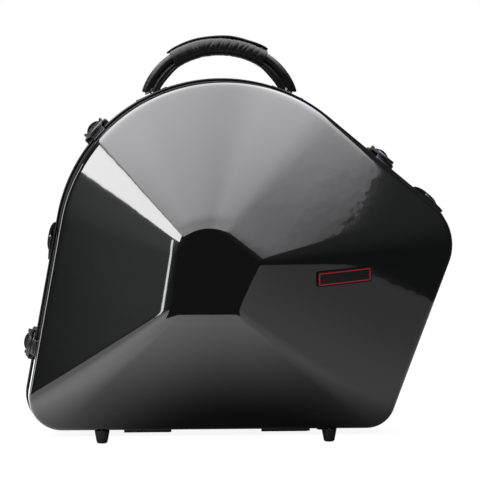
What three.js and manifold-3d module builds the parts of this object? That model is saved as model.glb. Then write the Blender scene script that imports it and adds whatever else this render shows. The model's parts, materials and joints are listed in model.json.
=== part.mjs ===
// French horn case with two moulded shells, standing on its feet.
// Millimetres, +Z up, the front (badge side) faces -Y, and the seam lies in the plane y = 0.
import * as THREE from 'three';
import { mergeVertices } from 'three/addons/utils/BufferGeometryUtils.js';
import Module from 'manifold-3d';

const wasm = await Module();
wasm.setup();
const degrees = Math.PI / 180;

// Clearances
const seatGap = 0.3; // between pieces that rest on each other
const runningGap = 0.4; // between pieces that turn or slide
const cutOverrun = 5; // how far a cutting solid stands past what it cuts

// Case outline at the seam, measured from the centre of the crown arc
const crownRadius = 221;
const bottomDrop = 240.7; // crown centre down to the bottom wall
const noseReach = 287.1; // crown centre square out to the nose side
const tailRadius = 46;
const heelRadius = 41;
const noseRadius = 67;
const smallestRadius = 2; // least corner radius of an outline that is drawn in
const leftAngle = 169.6 * degrees; // directions that the straight sides face
const bottomAngle = 270 * degrees;
const noseSideAngle = 339.5 * degrees;
const upperRightAngle = 50.33 * degrees;

// How finely curves are drawn
const crownSteps = 14;
const tailSteps = 6;
const heelSteps = 5;
const noseSteps = 6;
const outlineSteps = 5;
const cornerSteps = 3;
const pinSides = 10;
const screwSides = 8;
const footSides = 12;
const boreSides = 14;
const recessSides = 20;
const throatSides = 32;
const wireSides = 6;
const handleRingSteps = 20;
const strapRingSteps = 22;
const armSteps = 20;
const sleeveSteps = 12;
const wireTension = 0.2;
const mergeDistance = 1e-4;

// Moulded shells
const wall = 3;
const wallDepth = 72; // seam to the edge where the sloping faces start
const wallSetIn = 3; // how far the side wall slopes in over that depth
const edgeFillet = 7;
const plateauDepth = 173;
const plateauFillet = 17;
const faceBulge = 2.5;
const plateauShiftX = -26.7; // plateau arc centre from the crown centre
const plateauShiftZ = -5.2;
const plateauRadius = 41.2;
const plateauDrop = 73.1;
const plateauReach = 66.6;
const plateauTailRadius = 12;
const plateauHeelRadius = 12;
const plateauNoseRadius = 8;
const plateauLeftAngle = 173 * degrees;
const plateauNoseSideAngle = 336.8 * degrees;
const plateauUpperRightAngle = 51.6 * degrees;

// Rims and seal
const seamHalfGap = 0.3;
const rimLip = 1.5;
const rimWidth = 12;
const rimWeb = 2.4;
const tongueReach = 4; // how far the tongue stands past the seam
const tongueThickness = 1.6;
const tongueClearance = 1.5;
const sealThickness = 3;
const sealSqueezeGap = 0.5;
const flangeMargin = 2;

// Foam liners
const pocketInset = 32;
const pocketEdgeMargin = 17; // the pocket's straight wall ends this far short of the shell's
const pocketWallDepth = wallDepth - pocketEdgeMargin;
const foamFloor = 15;
const pocketPlateauInset = 4;
const foamSeamGap = 0.5;
const blockTailWidth = 109; // the solid foam corner blocks, from the shell's sides
const blockTailHeight = 128.7;
const blockHeelWidth = 187.1;
const blockHeelHeight = 108.7;
const blockTailX = blockTailWidth - crownRadius;
const blockTailZ = blockTailHeight - bottomDrop;
const blockHeelX = noseReach - blockHeelWidth;
const blockHeelZ = blockHeelHeight - bottomDrop;

// Bell cradles
const cradleX = 52;
const cradleThickness = 36;
const throatRadius = 62;
const throatDropZ = -30;

// Accessory tray
const trayWidth = 88;
const trayHeight = 76;
const trayDepth = 50;
const trayWall = 2;
const trayMarginX = 12; // foam left between the tray and the block's faces
const trayMarginZ = 10;
const trayCentreX = blockTailX - trayMarginX - trayWidth / 2;
const trayCentreZ = blockTailZ - trayMarginZ - trayHeight / 2;
const trayRecess = 3; // below the seam face of the foam

// Mouthpiece holder
const holderRadius = 27;
const holderDepth = 38;
const holderMarginX = 7;
const holderMarginZ = 17;
const holderCentreX = blockHeelX + holderMarginX + holderRadius;
const holderCentreZ = blockHeelZ - holderMarginZ - holderRadius;
const mouthpieceBore = 11;
const mouthpieceSpacing = 25;
const holderFloor = 5;

// Feet
const footHeight = 15.4; // floor to the bottom of the shell at the seam
const footTopRadius = 9.8;
const footSoleRadius = 7.2;
const footSoleRounding = 1.6;
const footEdgeMargin = 14; // foot centre to the edge where the sloping faces start
const footY = wallDepth - footEdgeMargin;
const leftFootX = -161;
const rightFootX = 139;
const screwHeadRadius = 3.6;
const screwHeadHeight = 2.4;
const screwShankRadius = 1.7;
const screwWellDepth = 5;

// Hinges
const hingeXs = [-100, 84]; // from the crown centre
const hingeLength = 62;
const hingeLeafReach = 38;
const hingeLeafThickness = 2;
const knuckleRadius = 3.8;
const hingePinRadius = 1.6;
const knuckleCount = 5;

// Latches, in the latch frame: u along the rim, v towards the back, w outwards
const latchBaseHalfWidth = 20;
const latchRimGap = 1.5;
const latchBaseStart = rimWidth + latchRimGap;
const latchBaseHeight = 7;
const latchFloor = 3;
const latchCheek = 3.6;
const latchCheekChamfer = 1.7;
const latchPinRadius = 1.4;
const leverKnuckleRadius = 3;
const leverPivotInset = 7.5;
const leverPivotV = latchBaseStart + leverPivotInset;
const leverPivotW = latchFloor + runningGap + leverKnuckleRadius;
const leverTipHeight = 1.8;
const leverTipWidth = 3;
const hookThrow = 14; // hook pin behind the lever pin
const hookPivotV = leverPivotV + hookThrow;
const hookPivotLift = 0.6;
const hookPivotW = leverPivotW + hookPivotLift;
const hookKnuckleRadius = 2.9;
const hookHalfWidth = 7.5;
const hookPlateThickness = 1.9;
const hookLip = 2.4;
const gripHalfWidth = 11;
const gripHeight = 5.8;
const gripMargin = 6.5; // bare lever between the hook pin and the grip
const gripLength = 15;
const gripStart = hookPivotV + gripMargin;
const gripEnd = gripStart + gripLength;
const leverOverhang = 1;
const leverEnd = gripEnd + leverOverhang;
const leverCover = 0.6; // lever top above the hook plate
const leverTop = hookPivotW + hookKnuckleRadius + seatGap + leverCover;
const latchBaseOverhang = 0.5;
const latchBaseEnd = leverEnd + latchBaseOverhang;
const keeperHalfWidth = 10;
const keeperRimGap = 2;
const keeperLength = 20;
const keeperStart = rimWidth + keeperRimGap;
const keeperEnd = keeperStart + keeperLength;
const keeperPlate = 2.1;
const keeperRidge = 4.2;
const keeperHeight = 6;
const keeperPass = 0.35; // the keeper passes under the hook's lip with this clearance
const crownLatchAngle = 137.5 * degrees;
const upperRightLatchRun = 92; // along the upper right side from the end of the crown
const leftLatchRun = 176; // along the left side from the end of the crown

// Handle
const bracketRimGap = 0.5;
const bracketHalfDepth = 10.5;
const handleAxisY = rimWidth + bracketRimGap + bracketHalfDepth;
const handleHalfSpan = 97; // half width of the handle's elliptic centre line
const handleRise = 78;
const handleEndLift = 6.665; // middle of the arch's ends above the ring axis
const handleShiftX = -2.5;
const handleArmRadius = 8.6;
const handleEndAngle = 72 * degrees;
const handleTaperHeight = 30; // the padding thins to a flat sewn loop over this height
const handleFlatShare = 0.58;
const gripSleeveAngle = 41 * degrees;
const gripSleeveRadius = 12.4;
const ringWire = 1.5;
const ringWidth = 6;
const ringHeight = 13;
const ringFlare = 6;
const ringLift = 4.2; // ring axis above the crown radius
const bracketLength = 45;
const bracketStart = handleAxisY - bracketHalfDepth;
const bracketEnd = handleAxisY + bracketHalfDepth;
const bracketPlate = 2;
const bracketEyeRadius = 3.4;
const bracketEyeWidth = 2.4;
const bracketWindow = 15; // room in the plate for the ring's bends

// Strap lugs, in the same frame as the latches
const lugLength = 42;
const lugHeight = 8.6;
const lugStart = 8;
const lugDepth = 16;
const lugEnd = lugStart + lugDepth;
const lugPinW = 5.2;
const strapWire = 1.8;
const strapRingReach = 30;
const leftLugRun = 29;
const upperRightLugRun = 170;

// Badge plate
const badgeLength = 78;
const badgeHeight = 20;
const badgeThickness = 1.4;
const badgeCorner = 2.5;
const badgeRimWidth = 1.6;
const badgeRimHeight = 0.6;
const badgeTilt = 4 * degrees;
const badgeAcrossShare = 0.454; // from the plateau out to the edge
const badgeAlongShare = 0.13; // from the nose corner down the nose side
const badgeSlopeShare = 0.1; // stretch of the face over which its slope is taken

// Places that follow from the sizes above
const crownZ = footHeight + bottomDrop;
const shellBottomZ = footHeight;
const lipDepth = seamHalfGap + rimWeb + seatGap;
const innerLipInset = wall + seatGap + (wallSetIn * rimWidth) / wallDepth;
const innerLipEnd = innerLipInset + rimLip;
const tongueInset = innerLipEnd + tongueClearance;
const tongueEnd = tongueInset + tongueThickness;
const flangeEnd = tongueEnd + flangeMargin;
const rimProud = rimLip + seatGap;
const sealStart = tongueReach + sealSqueezeGap;
const flangeStart = sealStart + sealThickness + seatGap;

// Outlines

const seamShape = {
  x: 0, z: 0, crown: crownRadius, drop: bottomDrop, reach: noseReach,
  tail: tailRadius, heel: heelRadius, nose: noseRadius,
  left: leftAngle, noseSide: noseSideAngle, upperRight: upperRightAngle,
};
const plateauShape = {
  x: plateauShiftX, z: plateauShiftZ, crown: plateauRadius, drop: plateauDrop, reach: plateauReach,
  tail: plateauTailRadius, heel: plateauHeelRadius, nose: plateauNoseRadius,
  left: plateauLeftAngle, noseSide: plateauNoseSideAngle, upperRight: plateauUpperRightAngle,
};

function cornerCentre(shape, angleA, distanceA, angleB, distanceB) {
  const spread = Math.sin(angleB - angleA);
  const x = (distanceA * Math.sin(angleB) - distanceB * Math.sin(angleA)) / spread;
  const z = (distanceB * Math.cos(angleA) - distanceA * Math.cos(angleB)) / spread;
  return { x: shape.x + x, z: shape.z + z };
}

// The arcs of an outline drawn in by an inset, in order round the case from the upper right
function outlineArcs(shape, inset) {
  const crown = shape.crown - inset;
  const drop = shape.drop - inset;
  const reach = shape.reach - inset;
  const radius = (value) => Math.max(value - inset, smallestRadius);
  const tail = radius(shape.tail);
  const heel = radius(shape.heel);
  const nose = radius(shape.nose);
  const turn = 360 * degrees;
  return [
    { centre: shape, radius: crown, from: shape.upperRight, to: shape.left, steps: crownSteps },
    {
      centre: cornerCentre(shape, shape.left, crown - tail, bottomAngle, drop - tail),
      radius: tail, from: shape.left, to: bottomAngle, steps: tailSteps,
    },
    {
      centre: cornerCentre(shape, bottomAngle, drop - heel, shape.noseSide, reach - heel),
      radius: heel, from: bottomAngle, to: shape.noseSide, steps: heelSteps,
    },
    {
      centre: cornerCentre(shape, shape.noseSide, reach - nose, shape.upperRight, crown - nose),
      radius: nose, from: shape.noseSide, to: shape.upperRight + turn, steps: noseSteps,
    },
  ];
}

// One ring of points at a depth from the seam; side is -1 at the front and 1 at the back
function ring(shape, inset, depth, side) {
  const points = [];
  for (const arc of outlineArcs(shape, inset)) {
    for (let step = 0; step <= arc.steps; step += 1) {
      const angle = arc.from + ((arc.to - arc.from) * step) / arc.steps;
      const x = caseX + arc.centre.x + arc.radius * Math.cos(angle);
      const z = crownZ + arc.centre.z + arc.radius * Math.sin(angle);
      points.push(new THREE.Vector3(x, side * depth, z));
    }
  }
  return points;
}

// The crown centre's place, so that the case with its left latch is centred over x = 0
const tailRim = outlineArcs(seamShape, -rimProud)[1];
const noseRim = outlineArcs(seamShape, -rimProud)[3];
const gripDomeRadius = (gripHalfWidth ** 2 + gripHeight ** 2) / (2 * gripHeight);
const gripDomeCentreW = leverTop + gripHeight - gripDomeRadius;
const leftLatchX = (crownRadius + gripDomeCentreW) * Math.cos(leftAngle) - leftLatchRun * Math.sin(leftAngle);
const leftmost = Math.min(tailRim.centre.x - tailRim.radius, leftLatchX - gripDomeRadius);
const caseX = -(leftmost + noseRim.centre.x + noseRim.radius) / 2;

// Solids

function blendRings(ringA, ringB, share) {
  return ringA.map((point, index) => point.clone().lerp(ringB[index], share));
}

function roundedRings(before, corner, after, count) {
  const rings = [];
  for (let step = 0; step <= count; step += 1) {
    const share = step / count;
    rings.push(blendRings(blendRings(before, corner, share), blendRings(corner, after, share), share));
  }
  return rings;
}

function centrePoint(ringPoints) {
  const sum = new THREE.Vector3();
  for (const point of ringPoints) {
    sum.add(point);
  }
  return [sum.divideScalar(ringPoints.length)];
}

// Skins a row of rings; the row ends in single points, or comes back to its first ring
function loft(rings, comesBack) {
  const positions = [];
  const starts = [];
  for (const points of rings) {
    starts.push(positions.length / 3);
    for (const point of points) {
      positions.push(point.x, point.y, point.z);
    }
  }
  const faces = [];
  const pairs = comesBack ? rings.length : rings.length - 1;
  for (let level = 0; level < pairs; level += 1) {
    const next = (level + 1) % rings.length;
    const countA = rings[level].length;
    const countB = rings[next].length;
    const count = Math.max(countA, countB);
    for (let index = 0; index < count; index += 1) {
      const after = (index + 1) % count;
      const a = starts[level] + (countA === 1 ? 0 : index);
      const b = starts[level] + (countA === 1 ? 0 : after);
      const c = starts[next] + (countB === 1 ? 0 : index);
      const d = starts[next] + (countB === 1 ? 0 : after);
      if (countA > 1) {
        faces.push(a, b, c);
      }
      if (countB > 1) {
        faces.push(b, d, c);
      }
    }
  }
  const geometry = new THREE.BufferGeometry();
  geometry.setAttribute('position', new THREE.Float32BufferAttribute(positions, 3));
  geometry.setIndex(faces);
  return closed(geometry);
}

// Merges shared points and turns the faces outwards
function closed(source) {
  let geometry = source.clone();
  for (const name of Object.keys(geometry.attributes)) {
    if (name !== 'position') {
      geometry.deleteAttribute(name);
    }
  }
  geometry = mergeVertices(geometry, mergeDistance);
  const { array } = geometry.attributes.position;
  const index = Array.from(geometry.index.array);
  const corner = (k) => new THREE.Vector3().fromArray(array, index[k] * 3);
  let volume = 0;
  for (let k = 0; k < index.length; k += 3) {
    volume += corner(k).dot(corner(k + 1).cross(corner(k + 2)));
  }
  if (volume < 0) {
    for (let k = 0; k < index.length; k += 3) {
      const swap = index[k];
      index[k] = index[k + 1];
      index[k + 1] = swap;
    }
    geometry.setIndex(index);
  }
  return geometry;
}

function toSolid(geometry) {
  const merged = closed(geometry);
  return new wasm.Manifold(new wasm.Mesh({
    numProp: 3,
    vertProperties: new Float32Array(merged.attributes.position.array),
    triVerts: new Uint32Array(merged.index.array),
  }));
}

function toGeometry(solid) {
  const mesh = solid.getMesh();
  const geometry = new THREE.BufferGeometry();
  geometry.setAttribute('position', new THREE.BufferAttribute(new Float32Array(mesh.vertProperties), 3));
  geometry.setIndex(Array.from(mesh.triVerts));
  return geometry;
}

function cut(geometry, ...tools) {
  return toGeometry(tools.reduce((solid, tool) => solid.subtract(toSolid(tool)), toSolid(geometry)));
}

function join(geometry, ...others) {
  return toGeometry(others.reduce((solid, other) => solid.add(toSolid(other)), toSolid(geometry)));
}

function polygon(points) {
  return new THREE.Shape(points.map(([a, b]) => new THREE.Vector2(a, b)));
}

// An outline in (v, w), drawn out along u about the middle
function barAlongU(shape, width) {
  const geometry = new THREE.ExtrudeGeometry(
    shape, { depth: width, bevelEnabled: false, curveSegments: outlineSteps });
  geometry.translate(0, 0, -width / 2);
  geometry.applyMatrix4(new THREE.Matrix4().makeBasis(
    new THREE.Vector3(0, 1, 0), new THREE.Vector3(0, 0, 1), new THREE.Vector3(1, 0, 0)));
  return geometry;
}

// An outline in (u, w), drawn out along v from start to end
function barAlongV(shape, start, end) {
  const geometry = new THREE.ExtrudeGeometry(
    shape, { depth: end - start, bevelEnabled: false, curveSegments: outlineSteps });
  geometry.rotateX(90 * degrees);
  geometry.translate(0, end, 0);
  return geometry;
}

function box(x0, x1, y0, y1, z0, z1) {
  const geometry = new THREE.BoxGeometry(x1 - x0, y1 - y0, z1 - z0);
  geometry.translate((x0 + x1) / 2, (y0 + y1) / 2, (z0 + z1) / 2);
  return geometry;
}

function rodAlongX(radius, length, x, y, z, sides = pinSides) {
  const geometry = new THREE.CylinderGeometry(radius, radius, length, sides);
  geometry.rotateZ(90 * degrees);
  geometry.translate(x, y, z);
  return geometry;
}

function rodAlongY(radius, length, x, y, z, sides) {
  const geometry = new THREE.CylinderGeometry(radius, radius, length, sides);
  geometry.translate(x, y, z);
  return geometry;
}

// A turned piece about a vertical axis, from [radius, height] pairs
function turned(profile, sides) {
  return new THREE.LatheGeometry(profile.map(([r, z]) => new THREE.Vector2(r, z)), sides)
    .rotateX(90 * degrees);
}

// Finishes

const finish = (color, roughness, metalness) => () => (
  new THREE.MeshStandardMaterial({ color, roughness, metalness })
);
const glossShell = finish('#17181b', 0.12, 0);
const blackRim = finish('#0e0e10', 0.35, 0.3);
const blackRubber = finish('#141416', 0.8, 0);
const plushFoam = finish('#26262b', 0.95, 0);
const blackNylon = finish('#1b1b1e', 0.45, 0);
const blackSteel = finish('#2a2b2f', 0.35, 0.8);
const brightSteel = finish('#a9abae', 0.3, 0.9);
const leatherette = finish('#1c1c1f', 0.5, 0);
const badgeBlack = finish('#151313', 0.4, 0);

const hornCase = new THREE.Group();

function place(parent, name, geometry, material) {
  const mesh = new THREE.Mesh(closed(geometry), material());
  mesh.name = name;
  parent.add(mesh);
  return mesh;
}

// Shells: side wall, rounded edge, sloping faces and flat plateau

function edgeRing(inset, drop, side) {
  return ring(seamShape, wallSetIn + inset, wallDepth - drop, side);
}

function plateauRing(inset, drop, side) {
  return ring(plateauShape, inset, plateauDepth - drop, side);
}

// A ring on the sloping faces, share 0 at the edge and 1 at the plateau
function faceRing(edge, plateau, share, side) {
  const lift = side * faceBulge * 4 * share * (1 - share);
  return blendRings(edge, plateau, share).map((point) => point.setY(point.y + lift));
}

const faceLength = crownRadius - plateauRadius;
const edgeFilletShare = edgeFillet / faceLength;
const plateauFilletShare = plateauFillet / faceLength;
const faceShares = [0.3, 0.6];

function shell(side) {
  const edge = edgeRing(0, 0, side);
  const plateau = plateauRing(0, 0, side);
  const wallTop = wallDepth - edgeFillet;
  const wallRing = ring(seamShape, (wallSetIn * wallTop) / wallDepth, wallTop, side);
  const outer = [ring(seamShape, (wallSetIn * lipDepth) / wallDepth, lipDepth, side)];
  const faceStart = faceRing(edge, plateau, edgeFilletShare, side);
  outer.push(...roundedRings(wallRing, edge, faceStart, cornerSteps));
  for (const share of faceShares) {
    outer.push(faceRing(edge, plateau, share, side));
  }
  const faceEnd = faceRing(edge, plateau, 1 - plateauFilletShare, side);
  outer.push(...roundedRings(faceEnd, plateau, plateauRing(plateauFillet / 2, 0, side), cornerSteps));
  outer.push(centrePoint(outer[outer.length - 1]));

  const innerEdge = edgeRing(wall, wall, side);
  const innerPlateau = plateauRing(wall, wall, side);
  const inner = [ring(seamShape, wall + (wallSetIn * lipDepth) / wallDepth, lipDepth, side), innerEdge];
  for (const share of faceShares) {
    inner.push(faceRing(innerEdge, innerPlateau, share, side));
  }
  inner.push(innerPlateau, centrePoint(innerPlateau));
  return loft([...inner.reverse(), ...outer], false);
}

// Screws hold the feet through these holes
function footPlaces(side) {
  return [
    { hand: 'left', x: caseX + leftFootX, y: side * footY },
    { hand: 'right', x: caseX + rightFootX, y: side * footY },
  ];
}

function screwHole(spot) {
  const hole = new THREE.CylinderGeometry(
    screwShankRadius + seatGap, screwShankRadius + seatGap, wall * 2 + cutOverrun, screwSides);
  hole.rotateX(90 * degrees);
  hole.translate(spot.x, spot.y, shellBottomZ + wall / 2);
  return hole;
}

for (const [name, side] of [['front', -1], ['back', 1]]) {
  place(hornCase, `${name}_shell`, cut(shell(side), ...footPlaces(side).map(screwHole)), glossShell);
}

// Rims: a channel holds each shell's edge; the back one has a tongue, the front one a seal ledge

function rim(section, side) {
  return loft(section.map(([inset, depth]) => ring(seamShape, inset, depth, side)), true);
}

const channelFloor = seamHalfGap + rimWeb;
const channel = [
  [innerLipEnd, rimWidth], [innerLipInset, rimWidth], [innerLipInset, channelFloor],
  [-seatGap, channelFloor], [-seatGap, rimWidth], [-rimProud, rimWidth], [-rimProud, seamHalfGap],
];
const backRimSection = [
  ...channel, [tongueInset, seamHalfGap], [tongueInset, -tongueReach], [tongueEnd, -tongueReach],
  [tongueEnd, channelFloor], [innerLipEnd, channelFloor],
];
const frontRimSection = [
  ...channel, [innerLipEnd, seamHalfGap], [innerLipEnd, flangeStart], [flangeEnd, flangeStart],
  [flangeEnd, flangeStart + rimLip], [innerLipEnd, flangeStart + rimLip],
];
const sealSection = [
  [innerLipEnd + seatGap, sealStart], [flangeEnd - seatGap, sealStart],
  [flangeEnd - seatGap, sealStart + sealThickness], [innerLipEnd + seatGap, sealStart + sealThickness],
];
place(hornCase, 'back_rim', rim(backRimSection, 1), blackRim);
place(hornCase, 'front_rim', rim(frontRimSection, -1), blackRim);
place(hornCase, 'rim_seal', rim(sealSection, -1), blackRubber);

// Foam liners with the horn pocket, and solid blocks at two corners

const linerInset = wall + seatGap;

function pocket(extraInset, side) {
  const edge = ring(seamShape, pocketInset + extraInset, pocketWallDepth - extraInset, side);
  const floorDepth = wall + seatGap + foamFloor + extraInset;
  const plateau = plateauRing(pocketPlateauInset + extraInset, floorDepth, side);
  const mouth = ring(seamShape, pocketInset + extraInset, -cutOverrun, side);
  return loft([
    centrePoint(mouth), mouth, edge, faceRing(edge, plateau, 0.5, side), plateau, centrePoint(plateau),
  ], false);
}

function cornerBlocks(gap) {
  const deep = plateauDepth;
  const far = noseReach + cutOverrun;
  return [
    box(caseX - far, caseX + blockTailX + gap, -deep, deep, crownZ - far, crownZ + blockTailZ + gap),
    box(caseX + blockHeelX - gap, caseX + far, -deep, deep, crownZ - far, crownZ + blockHeelZ + gap),
  ];
}

function liner(side) {
  const edge = edgeRing(linerInset, linerInset, side);
  const plateau = plateauRing(linerInset, linerInset, side);
  const stepInset = flangeEnd + seatGap * 2;
  const stepDepth = rimWidth + seatGap;
  const deepInset = linerInset + (wallSetIn * stepDepth) / wallDepth;
  const outer = loft([
    centrePoint(plateau), plateau, faceRing(edge, plateau, faceShares[1], side),
    faceRing(edge, plateau, faceShares[0], side), edge, ring(seamShape, deepInset, stepDepth, side),
    ring(seamShape, stepInset, stepDepth, side), ring(seamShape, stepInset, foamSeamGap, side),
    centrePoint(ring(seamShape, stepInset, foamSeamGap, side)),
  ], false);
  return cut(outer, cut(pocket(0, side), ...cornerBlocks(0)));
}

const trayFrontY = foamSeamGap + trayRecess;
const trayBackY = trayFrontY + trayDepth;
const trayX = caseX + trayCentreX;
const trayZ = crownZ + trayCentreZ;

function trayBox(grow, frontY, backY) {
  const halfWidth = trayWidth / 2 + grow;
  const halfHeight = trayHeight / 2 + grow;
  return box(trayX - halfWidth, trayX + halfWidth, frontY, backY, trayZ - halfHeight, trayZ + halfHeight);
}

const holderX = caseX + holderCentreX;
const holderZ = crownZ + holderCentreZ;
const holderMiddleY = trayFrontY + holderDepth / 2;
const holderRecess = rodAlongY(
  holderRadius + seatGap, holderDepth + trayRecess * 2 + seatGap * 2, holderX,
  trayFrontY - trayRecess + holderDepth / 2, holderZ, recessSides);

place(hornCase, 'back_foam_liner', cut(
  liner(1), trayBox(seatGap, -cutOverrun, trayBackY + seatGap), holderRecess), plushFoam);
place(hornCase, 'front_foam_liner', liner(-1), plushFoam);
place(hornCase, 'accessory_tray', cut(
  trayBox(0, trayFrontY, trayBackY), trayBox(-trayWall, trayFrontY - cutOverrun, trayBackY - trayWall)),
plushFoam);

function mouthpieceHole(offset) {
  const length = holderDepth + cutOverrun;
  const middleY = trayFrontY + holderDepth - holderFloor - length / 2;
  return rodAlongY(mouthpieceBore, length, holderX + offset, middleY, holderZ, boreSides);
}

place(hornCase, 'mouthpiece_holder', cut(
  rodAlongY(holderRadius, holderDepth, holderX, holderMiddleY, holderZ, recessSides),
  mouthpieceHole(-mouthpieceSpacing / 2), mouthpieceHole(mouthpieceSpacing / 2)), blackRubber);

// Bell cradles: foam bulkheads across the pocket with a half round for the bell throat

function cradle(side) {
  const x = caseX + cradleX;
  const far = noseReach;
  const deep = side > 0 ? [foamSeamGap, plateauDepth] : [-plateauDepth, -foamSeamGap];
  const slab = box(x, x + cradleThickness, ...deep, crownZ - far, crownZ + far);
  const room = cut(pocket(seatGap, side), ...cornerBlocks(seatGap));
  const throat = rodAlongX(
    throatRadius, cradleThickness + cutOverrun, x + cradleThickness / 2, 0, crownZ + throatDropZ,
    throatSides);
  return toGeometry(toSolid(slab).intersect(toSolid(room)).subtract(toSolid(throat)));
}

place(hornCase, 'back_bell_cradle', cradle(1), plushFoam);
place(hornCase, 'front_bell_cradle', cradle(-1), plushFoam);

// Feet with their screws

function foot() {
  const well = screwHeadRadius + runningGap;
  const bore = screwShankRadius + seatGap;
  const top = footHeight + (wallSetIn * (footY - footTopRadius)) / wallDepth - seatGap;
  return turned([
    [bore, screwWellDepth], [well, screwWellDepth], [well, 0], [footSoleRadius - footSoleRounding, 0],
    [footSoleRadius, footSoleRounding], [footTopRadius, top - footSoleRounding], [footTopRadius, top],
    [bore, top], [bore, screwWellDepth],
  ], footSides);
}

function footScrew() {
  const headTop = screwWellDepth - seatGap;
  const headBottom = headTop - screwHeadHeight;
  const tip = footHeight + wall;
  return turned([
    [0, headBottom], [screwHeadRadius - screwHeadHeight / 3, headBottom],
    [screwHeadRadius, headBottom + screwHeadHeight / 3], [screwHeadRadius, headTop],
    [screwShankRadius, headTop], [screwShankRadius, tip], [0, tip],
  ], screwSides);
}

for (const [name, side] of [['front', -1], ['back', 1]]) {
  for (const spot of footPlaces(side)) {
    place(hornCase, `${name}_${spot.hand}_foot`, foot(), blackRubber).position.set(spot.x, spot.y, 0);
    place(hornCase, `${name}_${spot.hand}_foot_screw`, footScrew(), blackSteel)
      .position.set(spot.x, spot.y, 0);
  }
}

// Hinges under the bottom edge; each is centred on its pin, which lies in the seam plane

const hingeDrop = rimProud + runningGap + knuckleRadius; // pin below the shell
const hingeAxisZ = shellBottomZ - hingeDrop;

function hingeLeaf(side, ownKnuckles) {
  const underRim = hingeDrop - rimProud - seatGap;
  const underWall = hingeDrop - seatGap;
  const bottom = underRim - hingeLeafThickness;
  const nearAxis = knuckleRadius + runningGap;
  const step = rimWidth + seatGap;
  const leaf = barAlongU(polygon([
    [side * nearAxis, bottom], [side * hingeLeafReach, bottom],
    [side * hingeLeafReach, underWall], [side * step, underWall],
    [side * step, underRim], [side * nearAxis, underRim],
  ]), hingeLength);
  const pitch = hingeLength / knuckleCount;
  const width = pitch - runningGap;
  const pieces = [];
  for (let knuckle = 0; knuckle < knuckleCount; knuckle += 1) {
    if (knuckle % 2 === ownKnuckles) {
      const x = (knuckle + 0.5) * pitch - hingeLength / 2;
      const barrel = rodAlongX(knuckleRadius, width, x, 0, 0);
      const armEnd = side * (nearAxis + seatGap);
      const arm = barAlongU(polygon([
        [0, bottom], [armEnd, bottom], [armEnd, underRim], [0, underRim],
      ]), width);
      arm.translate(x, 0, 0);
      pieces.push(barrel, arm);
    }
  }
  const bore = rodAlongX(hingePinRadius + seatGap, hingeLength + cutOverrun, 0, 0, 0);
  return cut(join(leaf, ...pieces), bore);
}

hingeXs.forEach((x, index) => {
  const hand = index === 0 ? 'left' : 'right';
  const hinge = new THREE.Group();
  hinge.position.set(caseX + x, 0, hingeAxisZ);
  hornCase.add(hinge);
  place(hinge, `${hand}_hinge_back_leaf`, hingeLeaf(1, 0), blackSteel);
  place(hinge, `${hand}_hinge_front_leaf`, hingeLeaf(-1, 1), blackSteel);
  place(hinge, `${hand}_hinge_pin`, rodAlongX(hingePinRadius, hingeLength, 0, 0, 0), brightSteel);
});

// A group on the rim: u runs along it clockwise, v to the back, w outwards

function rimFrame(x, z, angle) {
  const frame = new THREE.Group();
  frame.position.set(caseX + x, 0, crownZ + z);
  frame.rotation.y = 90 * degrees - angle;
  hornCase.add(frame);
  return frame;
}

function onCrown(angle) {
  return rimFrame(crownRadius * Math.cos(angle), crownRadius * Math.sin(angle), angle);
}

// run is measured from the crown's end; clockwise is 1 on the upper right side, -1 on the left one
function onSide(angle, run, clockwise) {
  const x = crownRadius * Math.cos(angle) + clockwise * run * Math.sin(angle);
  const z = crownRadius * Math.sin(angle) - clockwise * run * Math.cos(angle);
  return rimFrame(x, z, angle);
}

// Height of the drafted side wall in such a frame
function wallAt(v) {
  return (-wallSetIn * Math.abs(v)) / wallDepth;
}

// Latches: base, lever, hook and two pins on the back half, keeper on the front half

const leverHalfWidth = latchBaseHalfWidth - latchCheek - runningGap;
const slotHalfWidth = hookHalfWidth + runningGap * 2;
const hookPlateTop = hookPivotW + hookKnuckleRadius + seatGap;
const hookPlateBottom = hookPlateTop - hookPlateThickness;
const pinBore = latchPinRadius + seatGap;

function latchBase() {
  const half = latchBaseHalfWidth;
  const inside = half - latchCheek;
  const top = latchBaseHeight;
  const body = barAlongV(polygon([
    [-half, seatGap], [half, seatGap], [half, top - latchCheekChamfer], [half - latchCheekChamfer, top],
    [inside, top], [inside, latchFloor], [-inside, latchFloor], [-inside, top],
    [latchCheekChamfer - half, top], [-half, top - latchCheekChamfer],
  ]), latchBaseStart, latchBaseEnd);
  const sole = barAlongU(polygon([
    [latchBaseStart, seatGap * 2], [latchBaseStart, wallAt(latchBaseStart) + seatGap],
    [latchBaseEnd, wallAt(latchBaseEnd) + seatGap], [latchBaseEnd, seatGap * 2],
  ]), half * 2);
  return cut(join(body, sole), rodAlongX(pinBore, half * 2 + cutOverrun, 0, leverPivotV, leverPivotW));
}

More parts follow.
